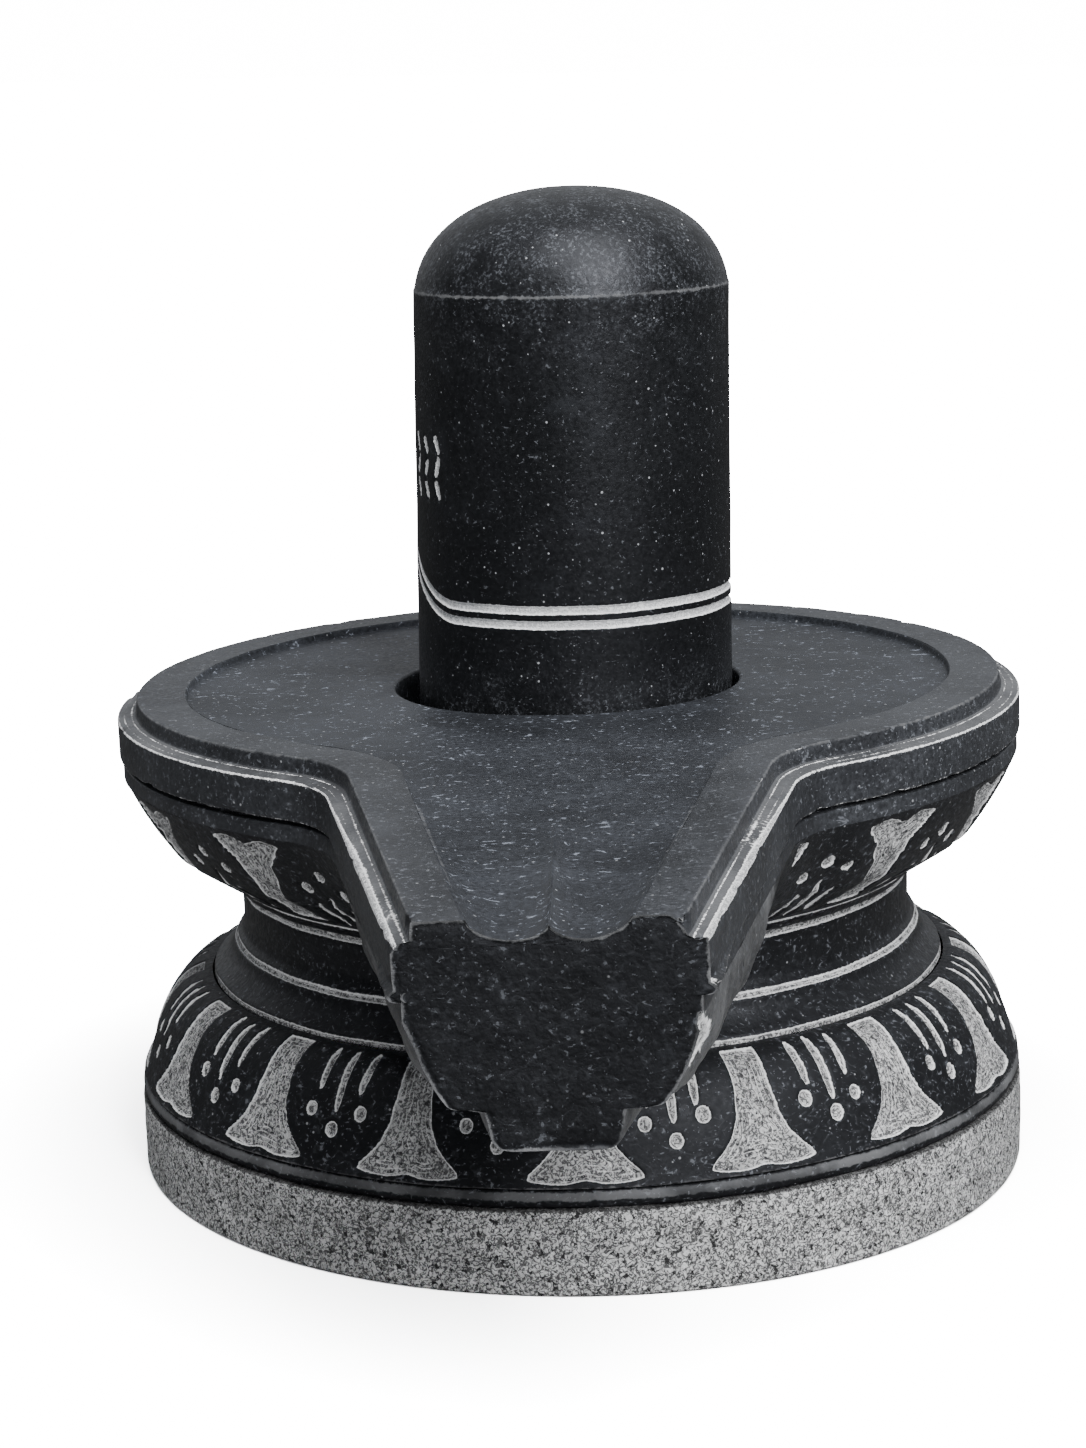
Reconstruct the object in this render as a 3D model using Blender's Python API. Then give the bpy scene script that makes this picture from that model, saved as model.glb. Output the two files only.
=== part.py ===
"""A shiva lingam: a domed stone standing loose in the socket of a carved spouted basin.

Two stones make the object. The basin, its neck and its bell foot are one block, carved
with petals, strokes and drilled dots. The domed shaft stands in a round socket in the
middle of the dish. Metres, +Z up, the spout points along -Y and the origin is the centre
of the foot on the ground.
"""

import math
from bisect import bisect_right

import bmesh
import bpy
import numpy as np
from mathutils import Vector
from mathutils.geometry import delaunay_2d_cdt

# Foot of the block, from the ground up
FOOT_RADIUS = 0.1500
FOOT_CHAMFER = 0.0008
PLINTH_HEIGHT = 0.0278
BEAD_HEIGHT = 0.0064
BEAD_SWELL = 0.0021
BEAD_QUIRK = 0.0024
BEAD_SWELLS_AT = (0.32, 0.64)
BEAD_CLOSES_AT = 0.94

# The foot was dressed out of square, so all above the plinth leans by degrees to -X
BODY_LEAN = 0.83
RIM_LEAN = 1.15

# Bell between the bead and the collar
BELL_FOOT_RADIUS = 0.1493
BELL_TOP_RADIUS = 0.1245
BELL_HEIGHT = 0.0331
BELL_STEEP = 0.31
BELL_CROWN = 0.66
BELL_FOOT_TURN = 0.16
BELL_TOP_DROP = 0.03
BELL_ROWS = 7

# Collar and neck
COLLAR_RADIUS = 0.1238
COLLAR_STEP = 0.0018
COLLAR_HEIGHT = 0.0120
COLLAR_TOP_RADIUS = 0.1162
COLLAR_BOW = 0.25
NECK_FLARE_HEIGHT = 0.0055
NECK_FLARE_SHARE = 0.8
NECK_RADIUS = 0.1128
NECK_HEIGHT = 0.0175
LINE_WIDTH = 0.0016
LINE_DEPTH = 0.0006

# Bowl under the rim
BOWL_FOOT_RADIUS = 0.1178
BOWL_FOOT_HEIGHT = 0.0055
BELLY_INSET = 0.0160
BELLY_HEIGHT = 0.0112
SHELF_HEIGHT = 0.0009
SHELF_WIDTH = 0.0012
SHOULDER_INSET = 0.0010
SHOULDER_HEIGHT = 0.0234
SHOULDER_BULGE = 0.0009
FRIEZE_HEIGHT = 0.0052
QUIRK_DEPTH = 0.0024
QUIRK_HEIGHT = 0.0016
QUIRK_SLOPE = 0.2

# Rim band, ledge and dish
BAND_RADIUS = 0.1508
BAND_HEIGHT = 0.0124
LEDGE_WIDTH = 0.0062
LEDGE_RISE = 0.0010
STEP_HEIGHT = 0.0050
STEP_LEAN = 0.0006
RIM_WIDTH = 0.0166
DISH_DEPTH = 0.0024
DISH_WALL_LEAN = 0.0009

# Spout, measured along -Y from the band
SPOUT_LENGTH = 0.1612
SPOUT_MOUTH_WIDTH = 0.0774
SPOUT_ROOT_WIDTH = 0.1364
SPOUT_FILLET = 0.0400
MOUTH_SHRINK = 0.78
MOUTH_UNDERCUT = 0.0012
MOUTH_RISE = 0.0016
LIP_WIDTH = 0.0336
LIP_FOOT_WIDTH = 0.0262
CHANNEL_DEPTH = 0.0046
RIDGE_DROP = 0.0014
CHANNEL_STARTS = 0.10

# Socket and shaft
SOCKET_CLEARANCE = 0.0052
SOCKET_DEPTH = 0.0600
SOCKET_CHAMFER = 0.0010
SHAFT_RADIUS = 0.0526
SHAFT_TOP_RADIUS = 0.0519
SHAFT_SHOWS = 0.1320
SHAFT_CHAMFER = 0.0015
SHAFT_LEAN = 0.0168
SHAFT_OFFSET = 0.0020
DOME_HEIGHT = 0.0323
DOME_SINK = 0.0045
DOME_SQUARENESS = 2.2
DOME_INSET = 0.0003
DOME_ROWS = 7
REST_GAP = 0.0003

# Engraved pair of lines round the shaft, and the rows of strokes on its carved side
RING_LOW = 0.0278
RING_SPACING = 0.0048
RING_WIDTH = 0.0028
RING_DEPTH = 0.0007
CARVED_SIDE = -100.0
PEAK_RISE = 0.0300
PEAK_HALF_ANGLE = 52.0
PEAK_SHARPNESS = 1.7
PANEL_RISE = 0.0018
SIGN_LENGTH = 0.0072
SIGN_WIDTH = 0.0026
SIGN_DEPTH = 0.0007
SIGN_ROWS = 3
SIGNS_IN_ROW = 11
SIGN_ROW_SPACING = 0.0074
SIGN_ANGLE = 8.6
SIGN_TILT = 0.3
SIGN_SHARE = 0.9
SIGN_SHORTER = 0.12

# Carved motifs: petals, with three strokes and three dots in each gap
PETALS = 16
PETAL_PHASE = 1.4
PETAL_DRIFT = 2.6
PETAL_DEPTH = 0.0008
PETAL_WALL = 0.0010
STROKE_DEPTH = 0.0009
STROKE_WIDTH = 0.0026
STROKE_POINT = 0.6
DOT_RADIUS = 0.0023
DOT_DEPTH = 0.0009
SPOUT_CLEAR_ANGLE = 28.5
STROKE_HALF_ANGLE = 0.8
DOT_HALF_ANGLE = 1.0

# Fineness of the facets
ROUND_STEP = 6.5
FRONT_ANGLE = 45.0
SHAFT_COLUMNS = 40
ROOT_STEPS = 3
FILLET_STEPS = 4
SPOUT_STEPS = 3
ARC_STEPS = 6
CHANNEL_STEPS = 4
DOT_SIDES = 6
SHARP_ANGLE = 32.0
CUT_MARGIN = 0.0012
SLOPE_REACH = 0.002


def clear_scene():
    """Remove every object of the open scene."""
    for thing in list(bpy.data.objects):
        bpy.data.objects.remove(thing, do_unlink=True)


def stone(name, colour, roughness):
    """Return a Principled material of one plain colour."""
    material = bpy.data.materials.new(name)
    material.use_nodes = True
    shader = material.node_tree.nodes["Principled BSDF"]
    shader.inputs["Base Color"].default_value = (*colour, 1.0)
    shader.inputs["Roughness"].default_value = roughness
    shader.inputs["Metallic"].default_value = 0.0
    return material


def blend(start, end, share):
    """Return the value a share of the way from start to end."""
    return start + (end - start) * share


def polar(angle, radius, height):
    """Return the point at an angle in degrees from -Y, turning towards +X."""
    turn = math.radians(angle)
    return Vector((radius * math.sin(turn), -radius * math.cos(turn), height))


def lean(point, heights, angles):
    """Return a point turned towards -X by an angle that goes with its height."""
    x, y, z = point
    turn = math.radians(float(np.interp(z, heights, angles)))
    return (x * math.cos(turn) - z * math.sin(turn), y, x * math.sin(turn) + z * math.cos(turn))


class Skin:
    """A closed mesh gathered face by face, whose points weld where they meet."""

    GRAIN = 1e-6

    def __init__(self):
        self.points = []
        self.index = {}
        self.faces = []

    def add(self, point):
        """Return the number of a point, the same for points that meet."""
        key = tuple(round(c / self.GRAIN) for c in point)
        if key not in self.index:
            self.index[key] = len(self.points)
            self.points.append(tuple(point))
        return self.index[key]

    def face(self, corners):
        """Add one face, leaving out corners that meet."""
        ring = []
        for corner in corners:
            number = self.add(corner)
            if number not in ring:
                ring.append(number)
        if len(ring) > 2:
            self.faces.append(ring)

    def strip(self, lower, upper, closed):
        """Join two rows of points, as many in each, with four-sided faces."""
        count = len(lower)
        for i in range(count if closed else count - 1):
            j = (i + 1) % count
            self.face((lower[i], lower[j], upper[j], upper[i]))

    def zipper(self, outer, inner):
        """Fill between two rings round the Z axis, whatever their counts."""
        turn_of = lambda p: math.atan2(p[0], -p[1]) % math.tau
        outer = sorted(outer, key=turn_of)
        inner = sorted(inner, key=turn_of)
        outer_turns = [turn_of(p) for p in outer] + [turn_of(outer[0]) + math.tau]
        inner_turns = [turn_of(p) for p in inner] + [turn_of(inner[0]) + math.tau]
        i = j = 0
        while i < len(outer) or j < len(inner):
            a, b = outer[i % len(outer)], inner[j % len(inner)]
            steps_out = j >= len(inner) or (
                i < len(outer) and outer_turns[i + 1] <= inner_turns[j + 1])
            if steps_out:
                self.face((a, outer[(i + 1) % len(outer)], b))
                i += 1
            else:
                self.face((a, inner[(j + 1) % len(inner)], b))
                j += 1

    def build(self, name, material, heights, angles):
        """Make the object with its faces pointing out, leaning by the angles at the heights."""
        mesh = bpy.data.meshes.new(name)
        mesh.from_pydata([lean(p, heights, angles) for p in self.points], [], self.faces)
        shape = bmesh.new()
        shape.from_mesh(mesh)
        bmesh.ops.recalc_face_normals(shape, faces=shape.faces)
        if shape.calc_volume(signed=True) < 0:
            bmesh.ops.reverse_faces(shape, faces=shape.faces)
        bmesh.ops.triangulate(shape, faces=[f for f in shape.faces if len(f.verts) > 4])
        shape.to_mesh(mesh)
        shape.free()
        mesh.materials.append(material)
        mesh.shade_smooth()
        mesh.set_sharp_from_angle(angle=math.radians(SHARP_ANGLE))
        thing = bpy.data.objects.new(name, mesh)
        bpy.context.scene.collection.objects.link(thing)
        return thing


class Wall:
    """A surface through a grid of points, flattened to metres along and up for carving.

    columns holds the distance along for each column, rows the distance up for each row,
    and grid[row][column] is the point there.
    """

    def __init__(self, grid, turns):
        self.grid = grid
        middle = grid[len(grid) // 2]
        self.columns = [0.0]
        for a, b in zip(middle, middle[1:]):
            self.columns.append(self.columns[-1] + (b - a).length)
        self.rows = [0.0]
        for lower, upper in zip(grid, grid[1:]):
            column = len(lower) // 2
            self.rows.append(self.rows[-1] + (upper[column] - lower[column]).length)
        self.turns = turns

    @property
    def height(self):
        return self.rows[-1]

    def point(self, along, up):
        """Return the point on the surface at a place on its flattened sheet."""
        i = min(max(bisect_right(self.columns, along) - 1, 0), len(self.columns) - 2)
        j = min(max(bisect_right(self.rows, up) - 1, 0), len(self.rows) - 2)
        s = (along - self.columns[i]) / (self.columns[i + 1] - self.columns[i])
        t = (up - self.rows[j]) / (self.rows[j + 1] - self.rows[j])
        low = self.grid[j][i].lerp(self.grid[j][i + 1], s)
        high = self.grid[j + 1][i].lerp(self.grid[j + 1][i + 1], s)
        return low.lerp(high, t)

    def outward(self, along, up):
        """Return the direction out of the stone at a place on the sheet."""
        left = max(along - SLOPE_REACH, 0.0)
        right = min(along + SLOPE_REACH, self.columns[-1])
        low = max(up - SLOPE_REACH, 0.0)
        high = min(up + SLOPE_REACH, self.rows[-1])
        across = self.point(right, up) - self.point(left, up)
        upward = self.point(along, high) - self.point(along, low)
        return across.cross(upward).normalized()

    def at_angle(self, angle, up):
        """Return the distance along at which the surface lies at an angle from -Y."""
        j = min(max(bisect_right(self.rows, up) - 1, 0), len(self.rows) - 2)
        t = (up - self.rows[j]) / (self.rows[j + 1] - self.rows[j])
        turns = [blend(a, b, t) for a, b in zip(self.turns[j], self.turns[j + 1])]
        return float(np.interp(angle, turns, self.columns))

    def carve(self, skin, cuts):
        """Fill the sheet with triangles that follow each cut's outline and its floor.

        Each cut is an outline, the points of its floor and a depth. The floor is a ring
        as long as the outline, a line of two points or one point.
        """
        flat = []
        solid = []
        edges = []
        kept = {}

        def place(along, up, depth, corner=None):
            key = (round(along, 7), round(up, 7))
            if key not in kept:
                kept[key] = len(flat)
                flat.append(Vector((along, up)))
                point = corner or self.point(along, up)
                solid.append(point - self.outward(along, up) * depth if depth else point)
            return kept[key]

        def ring(numbers, closed):
            pairs = zip(numbers, numbers[1:] + numbers[:1] if closed else numbers[1:])
            edges.extend(pair for pair in pairs if pair[0] != pair[1])

        outlines = [outline for outline, _, _ in cuts]
        for j, up in enumerate(self.rows):
            inner_row = 0 < j < len(self.rows) - 1
            for i, along in enumerate(self.columns):
                inner = inner_row and 0 < i < len(self.columns) - 1
                if inner and any(near(along, up, o) for o in outlines):
                    continue
                place(along, up, 0.0, self.grid[j][i])
        for up in (self.rows[0], self.rows[-1]):
            ring([place(along, up, 0.0) for along in self.columns], False)
        for along in (self.columns[0], self.columns[-1]):
            ring([place(along, up, 0.0) for up in self.rows], False)
        for outline, floor, depth in cuts:
            ring([place(*p, 0.0) for p in outline], True)
            numbers = [place(*p, depth) for p in floor]
            if len(numbers) > 1:
                ring(numbers, len(numbers) > 2)
        result = delaunay_2d_cdt(flat, edges, [], 0, 1e-7)
        places, triangles, sources = result[0], result[2], result[3]
        corners = [solid[source[0]] if source else self.point(*spot)
                   for spot, source in zip(places, sources)]
        for triangle in triangles:
            skin.face([corners[k] for k in triangle])


def near(along, up, outline):
    """Say whether a place lies in an outline's box, or close to it."""
    sides = [p[0] for p in outline]
    levels = [p[1] for p in outline]
    inside_sides = min(sides) - CUT_MARGIN < along < max(sides) + CUT_MARGIN
    return inside_sides and min(levels) - CUT_MARGIN < up < max(levels) + CUT_MARGIN


def stroke_cut(low, high, width, depth):
    """Return a chisel cut from one place to another, pointed at both ends."""
    a, b = Vector(low), Vector(high)
    run = (b - a).normalized()
    side = Vector((-run.y, run.x)) * width / 2
    bevel = run * width * STROKE_POINT
    outline = [a, a + bevel + side, b - bevel + side, b, b - bevel - side, a + bevel - side]
    return outline, [a + bevel * 1.5, b - bevel * 1.5], depth


def dot_cut(centre, radius, depth):
    """Return a round drilled dot."""
    turns = [math.tau * k / DOT_SIDES for k in range(DOT_SIDES)]
    outline = [(centre[0] + radius * math.cos(t), centre[1] + radius * math.sin(t))
               for t in turns]
    return outline, [centre], depth


def petal_cut(wall, angle, shares, depth):
    """Return a flared petal, given half its width in degrees at shares of the height."""
    right = []
    left = []
    for share, half in shares:
        up = share * wall.height
        right.append((wall.at_angle(angle + half, up), up))
        left.append((wall.at_angle(angle - half, up), up))
    outline = right + left[::-1]
    middle_up = sum(p[1] for p in outline) / len(outline)
    floor = []
    for along, up in outline:
        centre = wall.at_angle(angle, up)
        towards = math.copysign(min(PETAL_WALL, abs(centre - along) / 2), centre - along)
        drop = PETAL_WALL if up < middle_up else -PETAL_WALL
        at_end = up in (outline[0][1], outline[len(right) - 1][1])
        floor.append((along + towards, up + (drop if at_end else 0.0)))
    return outline, floor, depth


# Half widths of a petal in degrees at shares of the carved height, from its flared end
BELL_PETAL = ((0.05, 6.7), (0.12, 6.3), (0.21, 4.4), (0.36, 3.0), (0.93, 2.5))
BOWL_PETAL = ((0.10, 3.2), (0.25, 2.4), (0.50, 2.2), (0.74, 3.0), (0.87, 4.9), (0.96, 6.1))

# Strokes as angle from the gap's middle and the shares where they start and end, and
# dots as angle and share
BELL_STROKES = ((-3.2, 0.53, 0.92), (0.0, 0.42, 0.92), (3.2, 0.54, 0.92))
BELL_DOTS = ((-3.7, 0.43), (0.0, 0.29), (3.7, 0.43))
BOWL_STROKES = ((-3.2, 0.06, 0.46), (0.0, 0.06, 0.58), (3.2, 0.06, 0.46))
BOWL_DOTS = ((-3.5, 0.62), (0.0, 0.73), (3.5, 0.62))


def spaced_by_hand(number):
    """Return the angle of a petal, or of a gap at a half number, spread wider at the back."""
    even = 360.0 / PETALS * number
    return PETAL_PHASE + even - PETAL_DRIFT * math.sin(math.radians(even))


def motif_cuts(wall, petal, strokes, dots, clear_angle, first, last):
    """Return the petals, strokes and dots round a wall between two angles."""
    cuts = []

    def fits(angle, half):
        folded = abs((angle + 180.0) % 360.0 - 180.0)
        return folded - half > clear_angle and first < angle - half and angle + half < last

    for k in range(-PETALS, 2 * PETALS):
        centre = spaced_by_hand(k)
        if fits(centre, max(half for _, half in petal)):
            cuts.append(petal_cut(wall, centre, petal, PETAL_DEPTH))
        gap = spaced_by_hand(k + 0.5)
        for shift, low, high in strokes:
            if fits(gap + shift, STROKE_HALF_ANGLE):
                ends = [(wall.at_angle(gap + shift, share * wall.height), share * wall.height)
                        for share in (low, high)]
                cuts.append(stroke_cut(*ends, STROKE_WIDTH, STROKE_DEPTH))
        for shift, share in dots:
            if fits(gap + shift, DOT_HALF_ANGLE):
                up = share * wall.height
                cuts.append(dot_cut((wall.at_angle(gap + shift, up), up), DOT_RADIUS, DOT_DEPTH))
    return cuts


class Keyhole:
    """One level of the basin's outline: a round bowl running out into a tapered spout."""

    def __init__(self, inset, mouth_inset, height, mouth_rise=0.0):
        self.radius = BAND_RADIUS - inset
        self.height = height
        self.mouth_rise = mouth_rise
        mouth = Vector((SPOUT_MOUTH_WIDTH / 2 - mouth_inset, BAND_RADIUS + SPOUT_LENGTH))
        root = Vector((SPOUT_ROOT_WIDTH / 2 - inset, BAND_RADIUS))
        fillet = SPOUT_FILLET + inset
        along = (mouth - root).normalized()
        out = Vector((along.y, -along.x))
        start = root + out * fillet
        half = start.dot(along)
        reach = self.radius + fillet
        travel = -half + math.sqrt(half * half - start.length_squared + reach * reach)
        self.centre = start + along * travel
        self.fillet = fillet
        self.mouth = mouth
        self.line_start = self.centre - out * fillet
        self.arc_angle = math.degrees(math.atan2(self.centre.x, self.centre.y))

    def side(self, fixed_angle):
        """Return points from the mouth back to the last fixed column on the +X side."""
        points = [self.mouth.lerp(self.line_start, k / SPOUT_STEPS) for k in range(SPOUT_STEPS)]
        first = self.line_start - self.centre
        last = -self.centre.normalized() * self.fillet
        sweep = first.angle_signed(last)
        for k in range(FILLET_STEPS):
            turn = -sweep * k / FILLET_STEPS
            cosine, sine = math.cos(turn), math.sin(turn)
            points.append(self.centre + Vector((first.x * cosine - first.y * sine,
                                                first.x * sine + first.y * cosine)))
        for k in range(ROOT_STEPS):
            turn = math.radians(blend(self.arc_angle, fixed_angle, k / ROOT_STEPS))
            points.append(Vector((math.sin(turn), math.cos(turn))) * self.radius)
        heights = [self.height + self.mouth_rise * max(0.0, 1 - k / SPOUT_STEPS)
                   for k in range(len(points))]
        return [Vector((p.x, -p.y, height)) for p, height in zip(points, heights)]

    def contour(self, angles):
        """Return the open outline from the right of the mouth round to its left."""
        right = self.side(angles[0])
        left = [Vector((-p.x, p.y, p.z)) for p in self.side(360.0 - angles[-1])]
        return right + [polar(a, self.radius, self.height) for a in angles] + left[::-1]


def seam_angle():
    """Return an angle at the back that passes between two strokes of a gap."""
    return spaced_by_hand(PETALS // 2 + 0.5) - BELL_STROKES[-1][0] / 2


def back_angles():
    """Return the angles of the columns shared by every level round the back."""
    seam = seam_angle()
    before = int((seam - FRONT_ANGLE) // ROUND_STEP)
    after = int((360.0 - FRONT_ANGLE - seam) // ROUND_STEP)
    return [seam + ROUND_STEP * k for k in range(-before, after + 1)]


def bell_profile(bottom):
    """Return the bell's rows as radius and height, along one smooth curve."""
    top = bottom + BELL_HEIGHT
    spread = BELL_FOOT_RADIUS - BELL_TOP_RADIUS
    corners = (Vector((BELL_FOOT_RADIUS, bottom)),
               Vector((BELL_FOOT_RADIUS - spread * BELL_FOOT_TURN,
                       bottom + BELL_HEIGHT * BELL_STEEP)),
               Vector((BELL_TOP_RADIUS + spread * BELL_CROWN,
                       top - BELL_HEIGHT * BELL_TOP_DROP)),
               Vector((BELL_TOP_RADIUS, top)))
    rows = []
    for k in range(BELL_ROWS + 1):
        t = k / BELL_ROWS
        weights = ((1 - t) ** 3, 3 * t * (1 - t) ** 2, 3 * t * t * (1 - t), t ** 3)
        point = sum((c * w for c, w in zip(corners, weights)), Vector((0.0, 0.0)))
        rows.append((point.x, point.y))
    return rows


def foot_profile():
    """Return the rows from the ground up to the bell, as radius and height."""
    quirk = FOOT_RADIUS - BEAD_QUIRK
    swell = FOOT_RADIUS - BEAD_QUIRK + BEAD_SWELL
    return [
        (FOOT_RADIUS - FOOT_CHAMFER, 0.0),
        (FOOT_RADIUS, FOOT_CHAMFER),
        (FOOT_RADIUS, PLINTH_HEIGHT - FOOT_CHAMFER / 2),
        (quirk, PLINTH_HEIGHT),
        (swell, PLINTH_HEIGHT + BEAD_HEIGHT * BEAD_SWELLS_AT[0]),
        (swell, PLINTH_HEIGHT + BEAD_HEIGHT * BEAD_SWELLS_AT[1]),
        (quirk, PLINTH_HEIGHT + BEAD_HEIGHT * BEAD_CLOSES_AT),
    ]


def neck_profile(bottom):
    """Return the rows from the bell's top to the bowl's foot, with two engraved lines."""
    waist = bottom + COLLAR_HEIGHT
    neck_top = waist + NECK_HEIGHT
    half = LINE_WIDTH / 2
    rows = [
        (COLLAR_RADIUS - LINE_DEPTH, bottom + half),
        (COLLAR_RADIUS, bottom + COLLAR_STEP),
    ]
    for k in range(1, 4):
        share = k / 4
        bow = (COLLAR_RADIUS - COLLAR_TOP_RADIUS) * COLLAR_BOW * math.sin(math.pi * share)
        rows.append((blend(COLLAR_RADIUS, COLLAR_TOP_RADIUS, share) - bow,
                     blend(bottom + COLLAR_STEP, waist, share)))
    rows += [
        (COLLAR_TOP_RADIUS, waist - half),
        (COLLAR_TOP_RADIUS - LINE_DEPTH, waist),
        (COLLAR_TOP_RADIUS - LINE_DEPTH / 2, waist + half),
        (blend(COLLAR_TOP_RADIUS, NECK_RADIUS, NECK_FLARE_SHARE),
         waist + NECK_FLARE_HEIGHT / 2),
        (NECK_RADIUS, waist + NECK_FLARE_HEIGHT),
        (NECK_RADIUS, neck_top - half),
        (NECK_RADIUS - LINE_DEPTH, neck_top),
    ]
    return rows


def bowl_levels(bottom):
    """Return the bowl's carved levels, as bowl inset, mouth inset, height and mouth rise."""
    belly = bottom + BELLY_HEIGHT
    belly_radius = BAND_RADIUS - BELLY_INSET
    shoulder_radius = BAND_RADIUS - SHOULDER_INSET
    shelf = belly + SHELF_HEIGHT
    shoulder = shelf + SHOULDER_HEIGHT
    rows = []
    for k in range(3):
        share = k / 2
        lip = blend(LIP_FOOT_WIDTH, LIP_WIDTH, math.sqrt(share))
        rows.append((BAND_RADIUS - blend(BOWL_FOOT_RADIUS, belly_radius, share),
                     (SPOUT_MOUTH_WIDTH - lip) / 2, blend(bottom, belly, share), MOUTH_RISE))
    for k in range(4):
        share = k / 3
        bulge = SHOULDER_BULGE * 4 * share * (1 - share)
        radius = blend(belly_radius + SHELF_WIDTH, shoulder_radius, share) + bulge
        inset = BAND_RADIUS - radius
        rows.append((inset, inset * MOUTH_SHRINK + MOUTH_UNDERCUT, blend(shelf, shoulder, share),
                     MOUTH_RISE * (1 - share)))
    return rows


def rim_levels(shoulder):
    """Return the levels of the frieze, band, ledge and step, and the edge of the dish."""
    frieze = SHOULDER_INSET
    quirk = shoulder + FRIEZE_HEIGHT
    band = quirk + QUIRK_HEIGHT
    ledge = band + BAND_HEIGHT
    rim = ledge + LEDGE_RISE + STEP_HEIGHT
    under = [(frieze, frieze * MOUTH_SHRINK + MOUTH_UNDERCUT, quirk)]
    under += [(frieze + QUIRK_DEPTH, (frieze + QUIRK_DEPTH) * MOUTH_SHRINK + MOUTH_UNDERCUT, height)
              for height in (quirk + QUIRK_HEIGHT * QUIRK_SLOPE, band)]
    steps = (
        (0.0, band),
        (0.0, ledge),
        (LEDGE_WIDTH, ledge + LEDGE_RISE),
        (LEDGE_WIDTH + STEP_LEAN, rim),
        (LEDGE_WIDTH + RIM_WIDTH, rim),
    )
    return under + [(inset, inset * MOUTH_SHRINK, height) for inset, height in steps]


def channel_drop(across, along):
    """Return how far the spout's floor lies under the rim.

    across runs from 0 at the edge to 1 on the middle ridge, along from 0 at the dish to
    1 at the mouth.
    """
    ease = max(0.0, (along - CHANNEL_STARTS) / (1 - CHANNEL_STARTS))
    ease = ease * ease * (3 - 2 * ease)
    scoop = CHANNEL_DEPTH * math.sin(math.pi * across) ** 0.8 + RIDGE_DROP * across
    return blend(DISH_DEPTH, scoop, ease)


def dish(skin, edge, rim, angles, floor_height):
    """Fill the dish and the spout's channels inside the rim's inner edge."""
    inset = LEDGE_WIDTH + RIM_WIDTH + DISH_WALL_LEAN
    floor = Keyhole(inset, inset * MOUTH_SHRINK, floor_height).contour(angles)
    rows = []
    for k in range(SPOUT_STEPS + 1):
        along = 1 - k / SPOUT_STEPS
        right, left = floor[k], floor[-1 - k]
        row = []
        for i in range(2 * CHANNEL_STEPS + 1):
            share = i / (2 * CHANNEL_STEPS)
            across = 1 - abs(1 - 2 * share)
            point = right.lerp(left, share)
            point.z = rim - channel_drop(across, along)
            row.append(point)
        rows.append(row)
        floor[k], floor[-1 - k] = row[0], row[-1]
    skin.strip(edge, floor, False)
    for nearer, farther in zip(rows, rows[1:]):
        skin.strip(nearer, farther, False)
    dish_edge = floor[SPOUT_STEPS:len(floor) - SPOUT_STEPS] + rows[-1][1:-1][::-1]
    socket = SHAFT_RADIUS + SOCKET_CLEARANCE
    turns = [360.0 * k / SHAFT_COLUMNS for k in range(SHAFT_COLUMNS)]
    lip = [polar(a, socket + SOCKET_CHAMFER, floor_height) for a in turns]
    wall_top = [polar(a, socket, floor_height - SOCKET_CHAMFER) for a in turns]
    wall_foot = [polar(a, socket, floor_height - SOCKET_DEPTH) for a in turns]
    skin.zipper(dish_edge, lip)
    skin.strip(lip, wall_top, True)
    skin.strip(wall_top, wall_foot, True)
    skin.face(wall_foot)
    return rows[0]


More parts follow.
